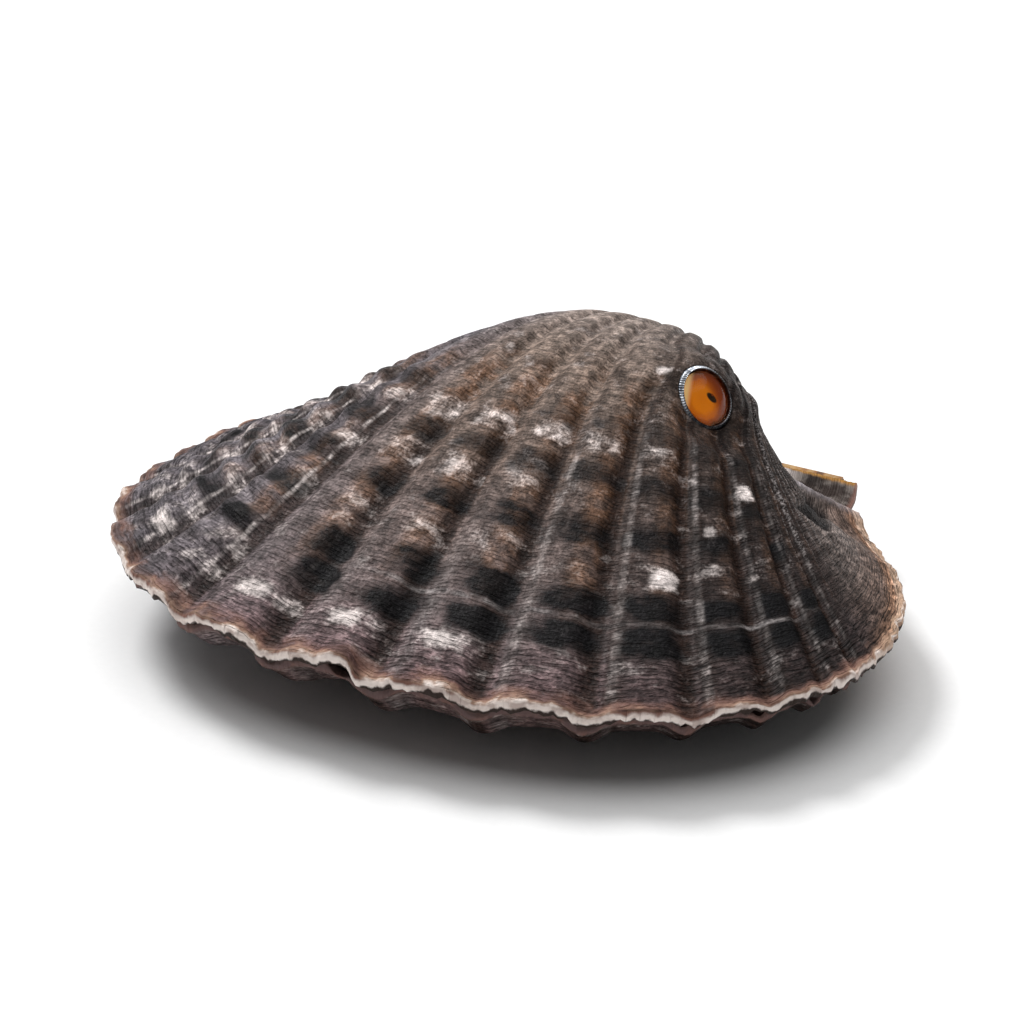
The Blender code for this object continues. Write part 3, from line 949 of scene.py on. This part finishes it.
# %% [markdown]
# Dark blotches sit on the right wall of the ribs in front, and on the crests towards both flanks. From the
# front to the right, early ones spread further over the crest. Pale blotches lie on the right side of the
# left ribs, and move to the middle of the right ones. Each blotch is a rounded rectangle in rib position and
# stage, so it bends with the rib that it lies on.

# %% Where marks lie on their rib
PLACED_RIBS = (-5, 0, 1, 2, 3, 4, 6, 8)
DARK_MIDDLES = (0.58, 0.60, 0.90, 0.83, 0.75, 0.66, 0.56, 0.58)  # in shares of a rib, at the placed ribs
DARK_HALF_WIDTHS = (0.50, 0.46, 0.30, 0.37, 0.41, 0.44, 0.47, 0.42)
EARLY_STAGE = 0.72
EARLY_SHIFT = -0.08
EARLY_SPREAD = 1.2
PALE_HALF_WIDTH = 0.34


def mark_across(tone, number, grown):
    """Where on a rib a mark has its middle, and its half width, both in ribs."""
    if tone == "pale":
        return np.clip(0.85 - 0.08 * number, 0.45, 0.8), PALE_HALF_WIDTH
    middle = np.interp(number, PLACED_RIBS, DARK_MIDDLES)
    half_width = np.interp(number, PLACED_RIBS, DARK_HALF_WIDTHS)
    if grown < EARLY_STAGE and number > 0:
        return middle + EARLY_SHIFT, half_width * EARLY_SPREAD
    return middle, half_width


print("a dark mark on rib 3 is at", [round(float(c), 2) for c in mark_across("dark", 3, 0.8)])

# %% Place the markings
MARK_SEED = 5
CHANCE = {"across": 0.04, "along": 0.004, "height": 0.15, "strength": 0.12}


def hill(rib, stage, place, grown, half_rib, half_stage):
    """1 in the middle of a rounded rectangle, falling softly to 0 a little outside it."""
    away = (np.abs((rib - place) / half_rib) ** 3 + np.abs((stage - grown) / half_stage) ** 3) ** (1 / 3)
    return 1 - ramp(away, 0.35, 1.25)


def markings(rib, stage):
    """How dark and how pale each point is marked."""
    chance = np.random.default_rng(MARK_SEED)
    marks = {"dark": np.zeros_like(rib), "pale": np.zeros_like(rib)}
    for tone, grown, drift, half_height, first, last, strength in ROWS:
        for number in range(first, last + 1):
            shifts = chance.uniform(-1, 1, 4)
            middle, half_width = mark_across(tone, number, grown)
            place = number + middle + CHANCE["across"] * shifts[0]
            row_stage = grown + drift * (number - 1) + CHANCE["along"] * shifts[1]
            level = strength * (1 - CHANCE["strength"] * (1 - shifts[2]))
            height = half_height * (1 + CHANCE["height"] * shifts[3])
            mark = level * hill(rib, stage, place, row_stage, half_width, height)
            marks[tone] = np.maximum(marks[tone], mark)
    for tone, place, grown, half_rib, half_stage, strength in SPOTS:
        marks[tone] = np.maximum(marks[tone], strength * hill(rib, stage, place, grown, half_rib, half_stage))
    return marks


print("half way out, a mark's hill is", round(float(hill(0.5, 0.0, 0.0, 0.0, 1.0, 1.0)), 2))

# %% Store the markings
def ear_zones(turn, ear, stage):
    """The pale ridge beside the ear, and the hollows in front of it and in it, which get painted shade."""
    ridge = bump_at(np.abs(turn), FOLD_TURN + 0.01, 0.055) * ramp(stage, 0.45, 0.60)
    in_ear = 0.45 * window(ear, 0.45, 0.92, 0.22) * window(stage, 0.74, 0.87, 0.06)
    return ridge, np.clip(1.2 * np.maximum(pocket(turn, stage), in_ear), 0, 1)


def stored(mesh, name):
    values = np.zeros(len(mesh.vertices), np.float32)
    mesh.attributes[name].data.foreach_get("value", values)
    return values


for valve_mesh, shown in ((upper_valve.data, 1.0), (lower_valve.data, 0.0)):
    marks = markings(stored(valve_mesh, "rib"), stored(valve_mesh, "stage"))
    ridge, hollow = ear_zones(*(stored(valve_mesh, key) for key in ("turn", "ear", "stage")))
    store(valve_mesh, "dark", marks["dark"] * shown)
    store(valve_mesh, "pale", marks["pale"] * shown)
    store(valve_mesh, "fold", ridge)
    store(valve_mesh, "pocket", hollow)
    print(valve_mesh.name, "is", round(100 * float(np.mean(marks["dark"] * shown > 0.5))), "% dark")

# %% [markdown]
# ## The ground colour of the shell
# The colour of the shell is built in layers, as a painter would glaze it. The ground comes first: a brown
# grey that changes with age, cooler on the left and dusky on the right, with a smooth lobe in front of the
# ear. Over it, grooves and the walls of the ribs further right are painted darker, as painted shade, the left
# walls of the front ribs are painted lighter, as painted light, and the warm side of the crests shows horn
# under the worn skin.
#
# Thresholds are in the units of the measure beside them: rib positions, stages of growth, or radians of turn.

# %% Colours of the ground
# a dark brown for stains, also used for painted shade in the grooves and on the walls
STAIN_AND_SHADE = paint(38, 24, 18)
CHARCOAL = paint(5, 5, 7)
WALL = paint(126, 120, 119)
COOL = paint(100, 94, 98)
DUSK = paint(46, 38, 36)
WARM = paint(128, 94, 72)
RUST = paint(122, 82, 50)
LOBE_STOPS = (  # colours of the lobe in front of the ear, by stage
    (0.0, paint(112, 102, 101)),
    (0.80, paint(128, 116, 111)),
    (0.94, paint(132, 111, 101)),
    (0.980, paint(162, 125, 102)),
    (0.992, paint(192, 150, 124)),
    (1.0, paint(222, 190, 168)),
)


def lobe_ground(turn, stage):
    """The lobe's colour, in shade near the flank, and a little ahead of its stage towards the ear."""
    ahead = ramped(turn, 1.4, 2.05, 0.0, 0.035)
    in_shade = times(ramped(turn, 1.50, 1.70, 0.55, 0.0), between(stage, 0.70, 0.78, 0.96, 0.985))
    return mixed(in_shade, colours(plus(stage, ahead), LOBE_STOPS), DUSK)


print("lobe colours:", len(LOBE_STOPS), "stops")

# %% Ground colour
def ground_layers(here, stops):
    """The colour of the shell without its markings."""
    rib, stage, turn = here.rib, here.stage, here.turn
    groove, wall, warm_side = (here.zones[name] for name in ("Groove", "Pale wall", "Warm side"))
    lobe = times(ramped(turn, 1.40, 1.56), ramped(stage, 0.55, 0.72))
    # painted light: how much the left walls of the front ribs are painted lighter
    lit = times(ramped(rib, 1.0, 4.0, 0.4, 1.0), ramped(rib, 3.9, 4.6, 1.0, 0.1), ramped(stage, 0.62, 0.92))
    # painted shade: how much the left walls of the ribs further right are painted darker
    shadowed = plus(ramped(rib, 3.8, 4.6, 0.05, 0.72), ramped(rib, 6.4, 7.1, 0.0, 0.25))
    middle_age = between(stage, 0.42, 0.52, 0.76, 0.90)
    warm = times(middle_age, ramped(here.mottle, 0.36, 0.58, 0.15, 0.65), ramped(rib, -2.0, 1.0, 0.3, 1.0))
    warm = times(warm, ramped(rib, 5.0, 6.2, 1.0, 0.3))
    dusky = times(ramped(rib, 3.9, 4.4, 0.0, 0.55), between(stage, 0.50, 0.56, 0.68, 0.80))
    rusty = times(between(stage, 0.40, 0.50, 0.62, 0.78), ramped(here.mottle, 0.40, 0.60, 0.0, 0.5))
    rusty = times(rusty, ramped(rib, 0.5, 2.0))
    # painted shade in the grooves, stronger towards the margin
    older = plus(stage, ramped(rib, 3.5, 5.5, 0.0, 0.12))
    worn = times(ramped(older, 0.50, 0.66, 0.12, 0.90), ramped(rib, -0.5, 2.0, 0.85, 1.0))
    return layered(
        colours(stage, stops),
        (ramped(turn, -0.2, -0.9), COOL),
        (ramped(turn, 0.30, 1.05, 0.0, 0.85), DUSK),
        (lobe, lobe_ground(turn, stage)),
        (times(between(turn, 0.90, 1.15, 1.36, 1.50), 0.38), CHARCOAL),
        (ramped(here.mottle, 0.42, 0.68, 0.0, 0.45), STAIN_AND_SHADE),
        # painted light on the lit left walls, then painted shade on the walls further right
        (times(wall, ramped(here.lines, 0.0, 1.0, 0.2, 0.6), lit), WALL),
        (times(wall, shadowed), STAIN_AND_SHADE),
        (times(wall, ramped(rib, 5.8, 6.8, 0.0, 0.55)), CHARCOAL),
        (times(warm_side, dusky), CHARCOAL),
        (times(warm_side, warm), WARM),
        (times(groove, rusty), RUST),
        # painted shade in the grooves
        (times(groove, worn), STAIN_AND_SHADE),
    )


print("stain in linear light:", [round(c, 3) for c in STAIN_AND_SHADE[:3]])

# %% [markdown]
# ## Marks and fine pale lines
# The stored hills become blotches here. Noise of several sizes roughens each hill first, so the blotch breaks
# up at its edge. Dark ones are fainter on old shell near the beak. Fine pale lines come next: the thin line
# beside each crest, a painted highlight on the right half, one line on the right half where growth paused,
# and the tops of the riblets.

# %% Markings and pale lines
CHALK = paint(234, 222, 218)
PAUSE_STAGE = 0.832  # the pale line between the last two dark rows
PAUSE_DRIFT = 0.0035  # its change of stage per rib


def riblet_tops(here):
    """Pale tops of the fine threads on the right flank."""
    wave = maths("COSINE", times(here.turn, math.tau / RIBLET_PITCH))
    flank = times(between(here.turn, 1.22, 1.34, 1.62, 1.76), ramped(here.stage, 0.66, 0.84, 1.0, 0.0))
    return times(flank, ramped(wave, 0.0, 0.9), ramped(here.grain, 0.3, 0.8, 0.0, 0.6))


def marking_layers(here, colour):
    """Dark and pale blotches, and the thin pale lines along and across the ribs."""
    rib, stage, broad = here.rib, here.stage, here.broad
    rough = plus(centred(here.fray, 0.5), centred(here.grain, 0.15))
    rough = plus(rough, centred(here.mottle, 1.5), centred(broad, 0.35))
    young = ramped(plus(stage, centred(broad, 0.2)), 0.60, 0.82, 0.80, 1.0)
    pause_stage = maths("MULTIPLY_ADD", rib, PAUSE_DRIFT, PAUSE_STAGE)
    from_pause = maths("ABSOLUTE", maths("SUBTRACT", stage, pause_stage))
    pause = times(ramped(from_pause, 0.001, 0.006, 0.7, 0.0), ramped(broad, 0.1, 0.7, 0.3, 1.0))
    dotted = times(ramped(broad, 0.2, 0.8, 0.12, 0.38), ramped(stage, 0.50, 0.60))
    return layered(
        colour,
        (times(ramped(plus(here.pale, rough), 0.08, 1.3), here.ribbed), CHALK),
        (times(ramped(plus(here.dark, rough), 0.06, 0.90, 0.0, 0.97), young), CHARCOAL),
        # painted highlight along the crests' left edges on the right half, a pale line on the left half
        (times(here.zones["Edge line"], dotted), CHALK),
        (times(pause, between(rib, 1.8, 3.2, 7.6, 8.4)), WALL),
        (riblet_tops(here), WALL),
    )


print("growth paused at stage", PAUSE_STAGE)

# %% [markdown]
# ## The edge, the lip and the ears
# The margin is the youngest shell. It is thin and translucent, so it shows tan, then a sandy stain, then
# cream where it has broken. Noise added to the stage makes these bands wander. The lip under the edge is
# cream above and dark at its foot. The ears are mottled, with an amber line along the hinge, and the inside
# is dark.

# %% Edge, lip and ears
TAN = paint(132, 97, 86)
SAND = paint(200, 166, 140)
AMBER = paint(176, 128, 66)
RIDGE = paint(206, 198, 204)
LIP_SHADE = paint(56, 46, 42)
EAR_PALE, EAR_DARK = paint(138, 128, 122), paint(62, 52, 48)


def lip_colours(here, edge_colour, outer, tan, rust, shade):
    torn = plus(here.lip, centred(here.mottle, 1.2), centred(here.broad, 0.5))
    torn = plus(torn, centred(here.fray, 0.5))
    return layered(
        mixed(ramped(torn, -0.1, 0.35), mixed(rust, edge_colour, tan), edge_colour),
        (times(outer, rust), SAND),
        (ramped(here.mottle, 0.46, 0.62, 0.0, 0.5), TAN),
        (ramped(torn, 0.62, 0.85, 0.0, shade), LIP_SHADE),
    )


def margin_layers(here, colour, edge_colour, rust, shade):
    """The stained and broken edge, the lip under it, the ear and the inside."""
    stage, turn, ear, lip, broad = here.stage, here.turn, here.ear, here.lip, here.broad
    edge = plus(stage, centred(here.fray, 0.012), centred(broad, 0.012), centred(here.mottle, 0.035))
    edge = maths("MULTIPLY_ADD", between(turn, 0.55, 0.85, 1.15, 1.35), -0.007, edge)
    outer = ramped(turn, 1.35, 1.60)
    tan = mixed(outer, TAN, SAND)
    ear_colour = mixed(ramped(here.mottle, 0.40, 0.62), EAR_PALE, EAR_DARK)
    return layered(
        colour,
        (times(ramped(edge, 0.968, 0.996), times(ramped(broad, 0.1, 0.7, 0.45, 0.9), rust)), tan),
        (times(ramped(edge, 0.986, 1.004, 0.0, 0.5), rust), SAND),
        (times(ramped(edge, 0.997, 1.008), rust), edge_colour),
        (ramped(lip, 0.02, 0.2), lip_colours(here, edge_colour, outer, tan, rust, shade)),
        (ramped(ear, 0.02, 0.12), mixed(ramped(stage, 0.66, 0.76, 0.8, 0.0), ear_colour, CHALK)),
        (times(here.fold, ramped(here.mottle, 0.35, 0.62, 0.95, 0.35)), RIDGE),
        # painted shade in the hollows beside the ear and in it
        (ramped(here.pocket, 0.1, 1.0, 0.0, 0.88), CHARCOAL),
        (ramped(ear, 0.84, 0.94), AMBER),
        (times(ramped(ear, 0.05, 0.2), ramped(edge, 0.975, 0.995, 0.0, 0.8)), TAN),
        (ramped(lip, 1.2, 1.6), STAIN_AND_SHADE),
    )


print("edge colours:", TAN, SAND)

# %% [markdown]
# ## The shell's material
# Last, the growth lines shade the colour, and noise, lines and folds tilt the surface through a bump. Near
# the edge and on the lobe the lines are coarser folds. Shell is satin: thin horny layers give it a soft
# sheen, so the roughness stays near the middle and follows the grain.

# %% What the material measures
MEASURES = ("rib", "stage", "turn", "ear", "lip", "age", "dark", "pale", "fold", "pocket")
FOLDS_PER_MM = 2.0
FRAY_SCALE, MOTTLE_SCALE = 1500.0, 520.0


def surface_measures(tree):
    """What the mesh, the shared effects and noise say about each point of the surface."""
    here = SimpleNamespace(**{key: measure(tree, key) for key in MEASURES})
    here.ribbed = between(here.turn, -2.0, -1.8, 1.36, 1.44)
    here.zones = placed(tree, rib_zones, Rib=here.rib, Ribbed=here.ribbed)
    places = {"Across_mm": times(here.turn, DISC_RADIUS / MM), "Along_mm": here.age}
    effects = placed(tree, growth_lines, **places)
    here.lines, here.grain, here.threads, here.broad = (effects[name] for name in GROWTH_EFFECTS)
    here.folds = placed(tree, growth_lines, **places, Lines_per_mm=FOLDS_PER_MM, Wander=0.5)["Lines"]
    here.fray = noise(object_place(tree), FRAY_SCALE, 4.0)
    here.mottle = noise(object_place(tree), MOTTLE_SCALE, 5.0)
    here.near_edge = ramped(here.stage, 0.86, 0.94)
    here.lobe = ramped(here.turn, 1.36, 1.50)
    return here


print("the shell's material reads", ", ".join(MEASURES))

# %% The shell's look
SHELL_SHEEN = 0.08
BUMP_DEPTH = 0.07 * MM


def shade_layers(here, colour):
    """The lines, folds and grain as light and dark, and the chalk spots that stay clear of them."""
    furrows = maths("SUBTRACT", 1.0, here.folds)
    shades = (
        (here.lines, 0.56, 1.10),
        (times(here.lobe, furrows), 1.14, 0.50),
        (times(here.near_edge, furrows), 1.08, 0.50),
        (here.grain, 0.78, 1.24),
        (here.threads, 0.93, 1.06),
        (here.broad, 0.70, 1.28),
        (ramped(here.fray, 0.32, 0.68), 0.62, 1.36),
    )
    for value, low, high in shades:
        colour = shaded(colour, value, low, high)
    spot = ramped(plus(here.pale, centred(here.fray, 0.4)), 0.50, 1.20, 0.0, 0.85)
    return mixed(times(spot, ramped(here.rib, 5.0, 5.3, 1.0, 0.5), here.ribbed), colour, CHALK)


def shell_relief(here):
    folded = ramped(maths("MAXIMUM", here.near_edge, here.lobe), 0.0, 1.0, 0.3, 2.0)
    relief = plus(times(here.lines, 0.9), times(here.mottle, 1.6), times(here.grain, 0.4))
    return plus(relief, times(here.fray, 2.2), times(here.folds, folded))


def shell_look(tree, stops, edge_colour, rust, shade):
    """Marked and lined shell. Rust is how much its edge is stained, and shade darkens the foot of its lip."""
    here = surface_measures(tree)
    colour = marking_layers(here, ground_layers(here, stops))
    return {
        "Base Color": margin_layers(here, shade_layers(here, colour), edge_colour, rust, shade),
        "Roughness": ramped(here.grain, 0.0, 1.0, 0.60, 0.42),
        "Normal": bumped(shell_relief(here), 0.9, BUMP_DEPTH),
        "Specular IOR Level": SHELL_SHEEN,
    }


print("bumps are", round(BUMP_DEPTH / MM, 2), "mm deep")

# %% Dress both valves
UPPER_GROUND = (
    (0.0, paint(158, 148, 140)),
    (0.32, paint(146, 132, 124)),
    (0.45, paint(124, 108, 98)),
    (0.60, paint(107, 92, 84)),
    (0.75, paint(107, 93, 89)),
    (0.88, paint(100, 87, 86)),
    (0.94, paint(119, 100, 101)),
    (1.0, paint(110, 86, 87)),
)
LOWER_GROUND = ((0.0, paint(112, 98, 94)), (0.6, paint(98, 84, 80)), (1.0, paint(112, 92, 90)))
CREAM, DARK_EDGE = paint(246, 232, 224), paint(104, 84, 82)
upper_shell = material_of("marked shell", shell_look, UPPER_GROUND, CREAM, 1.0, 1.0)
lower_shell = material_of("dark shell", shell_look, LOWER_GROUND, DARK_EDGE, 0.1, 0.4)
upper_valve.data.materials.append(upper_shell)
lower_valve.data.materials.append(lower_shell)

# %% [markdown]
# ## The ligament
# The valves are joined behind the hinge line by a strip of dry amber horn. Its solid has the right shape, so
# it stays, and a layered amber material is put on it.

# %% The ligament's material
HORN_STOPS = ((0.0, paint(84, 50, 22)), (0.5, paint(160, 108, 52)), (1.0, paint(200, 160, 104)))
HORN_DARK = paint(104, 70, 36)
PER_MM = (1000, 1000, 1000)


def ligament_look(tree):
    inputs = {0: object_place(tree), 1: PER_MM}
    in_mm = node(tree, "ShaderNodeVectorMath", inputs, operation="MULTIPLY").outputs[0]
    parts = node(tree, "ShaderNodeSeparateXYZ", {0: in_mm}).outputs
    lines = placed(tree, growth_lines, Across_mm=parts[0], Along_mm=parts[2], Lines_per_mm=4.0, Wander=0.3)
    return {
        "Base Color": mixed(times(lines["Broad"], 0.4), colours(lines["Lines"], HORN_STOPS), HORN_DARK),
        "Normal": bumped(lines["Lines"], 0.5, 0.1 * MM),
        "Roughness": 0.5,
    }


ligament_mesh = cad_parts["hinge_ligament"].data
ligament_mesh.materials.clear()
ligament_mesh.materials.append(material_of("amber horn", ligament_look))

# %% [markdown]
# ## The glass eye
# A glass eye is a dome of clear glass over a painted disc, in a thin metal cup. The solids have flat facets
# that would show in its reflections, so a smooth lens, disc and cup are turned from the same profiles. A
# Screw modifier would do it too; here the rings are worked out directly, so that the cup can be crimped.

# %% Turned pieces of the eye
LENS_RISE = 0.90 * MM
LENS_EDGE = 0.45 * MM
LENS_BACK = -0.45 * MM
IRIS_TOP, IRIS_BOTTOM = -0.75 * MM, -1.05 * MM
CUP_FLOOR, CUP_BOTTOM = -1.35 * MM, -1.60 * MM
CUP_TOP = 0.30 * MM
CUP_INNER = 2.64 * MM
LENS_SIDES = 160
DOME_RINGS = 25
SHARP_ANGLE = math.radians(40)

axis = Vector(EYE_AXIS)
up = (EYE_UP - EYE_UP.dot(axis) * axis).normalized()
eye_turn = Matrix((up.cross(axis), up, axis)).transposed().to_4x4()
eye_frame = shell_frame @ Matrix.Translation(Vector(EYE_PLACE)) @ eye_turn


def turned(name, profile, sides, shape=None):
    """A closed solid turned about the eye's axis. Shape may move a ring's radius and height by its angle."""
    angles = np.linspace(0, math.tau, sides, endpoint=False)
    rings = []
    for radius, height in profile[1:-1]:
        radii, heights = np.full(sides, radius), np.full(sides, height)
        if shape:
            radii, heights = shape(angles, radii, heights)
        rings.append(np.stack([radii * np.cos(angles), radii * np.sin(angles), heights], axis=1))
    points = np.concatenate([*rings, [(0, 0, profile[0][1])], [(0, 0, profile[-1][1])]])
    faces = []
    for i in range(len(rings) - 1):
        faces += joined_rings(i * sides + np.arange(sides), (i + 1) * sides + np.arange(sides)).tolist()
    last = (len(rings) - 1) * sides
    for k in range(sides):
        following = (k + 1) % sides
        faces.append([len(points) - 2, k, following])
        faces.append([len(points) - 1, last + following, last + k])
    mesh = mesh_of(name, points.tolist(), faces)
    mesh.transform(eye_frame)
    faced_outwards(mesh, SHARP_ANGLE)
    in_eye = points.astype(np.float32)
    store(mesh, "eye_x", in_eye[:, 0])
    store(mesh, "eye_y", in_eye[:, 1])
    return mesh


def eye_piece(mesh, material, solid):
    mesh.materials.append(material)
    riding_piece(mesh, solid)
    print(mesh.name, "has", len(mesh.vertices), "points")


print("eye looks along", [round(c, 2) for c in EYE_AXIS])

# %% [markdown]
# The lens is clear glass with a faint amber tint. Glass keeps plain values on its own sockets. Its index is
# lower than real glass has, because the wide studio light would lie as a haze on it. The painted disc glows
# through it, and that glow is painted light, which stands in for light that the dome gathers onto the disc.

# %% The lens
GLASS_TINT = paint(255, 240, 214)


def glass_look(_):
    return {"Base Color": GLASS_TINT, "Roughness": 0.03, "IOR": 1.20, "Transmission Weight": 1.0}


dome_ball = (LENS_RADIUS**2 + LENS_RISE**2) / (2 * LENS_RISE)
dome_reach = math.asin(LENS_RADIUS / dome_ball)
lens_profile = [(0, LENS_BACK), (LENS_RADIUS, LENS_BACK)]
for angle in np.linspace(dome_reach, 0, DOME_RINGS):
    dome_height = LENS_BACK + LENS_EDGE + LENS_RISE - dome_ball * (1 - math.cos(angle))
    lens_profile.append((dome_ball * math.sin(angle), dome_height))
glass = material_of("amber glass", glass_look)
eye_piece(turned("eye_glass_dome", lens_profile, LENS_SIDES), glass, "eye_lens")

# %% [markdown]
# The disc is painted bright orange in the middle and deeper towards its edge, with a painted highlight, a pale
# gleam on the left where the dome gathers the light. Its slit pupil is an ellipse, drawn from the distances
# along and across a leaning line.

# %% The painted disc
PUPIL_PLACE = (0.95 * MM, -0.15 * MM)
PUPIL_LEAN = math.radians(30)
PUPIL_HALF_LENGTH = 0.52 * MM
PUPIL_HALF_WIDTH = 0.28 * MM
PUPIL = paint(18, 10, 6)
GLEAM = paint(255, 222, 172)
IRIS_SHADE = paint(132, 52, 10)
IRIS_GLOW = 0.28  # stands in for the light that the dome gathers onto the disc
IRIS_STOPS = (
    (0.0, paint(222, 130, 4)),
    (0.42, paint(228, 138, 6)),
    (0.60, paint(206, 112, 4)),
    (0.72, paint(160, 76, 4)),
    (0.84, paint(78, 36, 8)),
)


def across_eye(tree):
    """Each point's place across the eye, as two numbers and as a vector, and its distance from the axis."""
    across, upwards = measure(tree, "eye_x"), measure(tree, "eye_y")
    place = node(tree, "ShaderNodeCombineXYZ", {0: across, 1: upwards}).outputs[0]
    radius = node(tree, "ShaderNodeVectorMath", {0: place}, operation="LENGTH").outputs["Value"]
    return across, upwards, place, radius


def pupil_mask(across, upwards):
    right = maths("SUBTRACT", across, PUPIL_PLACE[0])
    above = maths("SUBTRACT", upwards, PUPIL_PLACE[1])
    sine, cosine = math.sin(PUPIL_LEAN), math.cos(PUPIL_LEAN)
    along = maths("MULTIPLY_ADD", right, -sine, times(above, cosine))
    aside = maths("MULTIPLY_ADD", right, cosine, times(above, sine))
    length_share = maths("POWER", maths("DIVIDE", along, PUPIL_HALF_LENGTH), 2.0)
    width_share = maths("POWER", maths("DIVIDE", aside, PUPIL_HALF_WIDTH), 2.0)
    return ramped(plus(length_share, width_share), 0.7, 1.4, 1.0, 0.0)


def iris_look(tree):
    across, upwards, place, radius = across_eye(tree)
    share = maths("MULTIPLY_ADD", noise(place, 900.0, 4.0), 0.25, maths("DIVIDE", radius, LENS_RADIUS))
    leftwards = maths("MULTIPLY_ADD", upwards, -0.8, across)
    colour = layered(
        colours(times(share, 0.8), IRIS_STOPS),
        # painted highlight: the pale gleam towards the upper left of the disc
        (ramped(leftwards, -1.3 * MM, -2.15 * MM), GLEAM),
        (ramped(across, 0.5 * MM, 1.8 * MM, 0.0, 0.75), IRIS_SHADE),
        (pupil_mask(across, upwards), PUPIL),
    )
    return {"Base Color": colour, "Emission Color": colour, "Emission Strength": IRIS_GLOW, "Roughness": 0.4}


iris_profile = [(0, IRIS_BOTTOM), (LENS_RADIUS, IRIS_BOTTOM), (LENS_RADIUS, IRIS_TOP), (0, IRIS_TOP)]
amber_paint = material_of("painted amber iris", iris_look)
eye_piece(turned("eye_painted_disc", iris_profile, LENS_SIDES), amber_paint, "eye_iris")

# %% [markdown]
# The cup is thin silver, pressed over the edge of the glass and crimped into small teeth all round. Its
# metal is dulled unevenly, which noise in the roughness gives, and it is darker inside, round the glass.

# %% The crimped cup
CRIMPS = 72
SIDES_PER_CRIMP = 6
CRIMP_DEPTH = 0.07 * MM
SILVER_STOPS = ((0.35, paint(88, 92, 100)), (0.6, paint(172, 176, 182)))
DARK_INSIDE = paint(52, 42, 38)


def cup_look(tree):
    tarnish = noise(object_place(tree), 1800.0, 4.0)
    *_, radius = across_eye(tree)
    # darker on the inside of the cup, round the glass
    inside = ramped(radius, CUP_INNER, CUP_INNER + 0.1 * MM, 0.85, 0.0)
    return {
        "Base Color": mixed(inside, colours(tarnish, SILVER_STOPS), DARK_INSIDE),
        "Roughness": ramped(tarnish, 0.3, 0.7, 0.5, 0.22),
        "Metallic": 1.0,
    }


def crimped(angles, radius, height):
    """Teeth on the part of the cup that stands above the shell."""
    tooth = 0.5 - 0.5 * np.cos(angles * CRIMPS)
    above = ramp(height, -0.15 * MM, 0.05 * MM)
    return radius - CRIMP_DEPTH * 0.5 * tooth * above, height - CRIMP_DEPTH * tooth * above


cup_profile = [
    (0, CUP_BOTTOM),
    (CUP_RADIUS - 0.1 * MM, CUP_BOTTOM),
    (CUP_RADIUS, CUP_BOTTOM + 0.1 * MM),
    (CUP_RADIUS, -0.08 * MM),
    (CUP_RADIUS - 0.05 * MM, 0.04 * MM),
    (CUP_RADIUS - 0.16 * MM, 0.16 * MM),
    (CUP_RADIUS - 0.28 * MM, CUP_TOP - 0.04 * MM),
    (CUP_INNER + 0.07 * MM, CUP_TOP),
    (CUP_INNER, CUP_TOP - 0.06 * MM),
    (CUP_INNER, CUP_FLOOR),
    (0, CUP_FLOOR),
]
silver = material_of("crimped silver", cup_look)
eye_piece(turned("eye_crimped_cup", cup_profile, CRIMPS * SIDES_PER_CRIMP, crimped), silver, "eye_bezel")

# %% [markdown]
# ## Floor, light and camera
# The shell lies on plain white paper under soft light from the upper left. A large area light gives the soft
# edge of its shadow, a small one gives the shell its modelling, and a white world fills the rest. The camera
# stands low and a little to the right, with a long lens, which keeps the shell's proportions calm.

# %% Floor
FLOOR_HALF = 3.0


def paper_look(tree):
    fibre = noise(object_place(tree), 1500.0, 3.0)
    return {"Base Color": mixed(fibre, grey(0.90), grey(0.94)), "Roughness": 0.9}


corners = [(x * FLOOR_HALF, y * FLOOR_HALF, 0) for x, y in ((-1, -1), (1, -1), (1, 1), (-1, 1))]
floor = in_scene("paper_floor", mesh_of("paper_floor", corners, [(0, 1, 2, 3)]))
floor.data.materials.append(material_of("white paper", paper_look))
print("floor is", 2 * FLOOR_HALF, "m wide")

# %% Light
LIGHT_AIM = Vector((0, 0, 0.01))
SOFTBOXES = (  # name, place, size and power
    ("overhead softbox", (-0.10, 0.20, 0.80), 1.60, 9.0),
    ("left softbox", (-0.40, 0.18, 0.55), 0.25, 3.0),
)
WORLD_LIGHT = 0.14

for name, place, size, power in SOFTBOXES:
    light = bpy.data.lights.new(name, "AREA")
    light.shape = "DISK"
    light.size = size
    light.energy = power
    lamp = in_scene(name, light)
    lamp.location = place
    lamp.rotation_euler = (LIGHT_AIM - Vector(place)).to_track_quat("-Z", "Y").to_euler()
world = bpy.data.worlds.new("white studio")
world.use_nodes = True
fill(world.node_tree.nodes["Background"].inputs, {"Color": grey(1.0), "Strength": WORLD_LIGHT})
scene.world = world
scene.view_settings.view_transform = "Standard"
print("lights:", len(SOFTBOXES), "softboxes")

# %% Camera
CAMERA_PLACE = shell_frame.translation + Vector((114.559, -266.490, 118.990)) * MM
CAMERA_AZIMUTH = math.radians(25.907)
CAMERA_ELEVATION = math.radians(23.529)
CAMERA_ROLL = math.radians(0.864)
LENS_LENGTH = 114.925  # millimetres, on a sensor of the width below
SENSOR_WIDTH = 36

camera_data = bpy.data.cameras.new("camera")
camera_data.lens = LENS_LENGTH
camera_data.sensor_width = SENSOR_WIDTH
camera_data.clip_start = 0.01
camera = in_scene("camera", camera_data)
camera_turn = Euler((math.pi / 2 - CAMERA_ELEVATION, 0, CAMERA_AZIMUTH)).to_matrix().to_4x4()
camera.matrix_world = Matrix.Translation(CAMERA_PLACE) @ camera_turn @ Matrix.Rotation(CAMERA_ROLL, 4, "Z")
scene.camera = camera
print("camera is", round(CAMERA_PLACE.length, 3), "m from the shell")
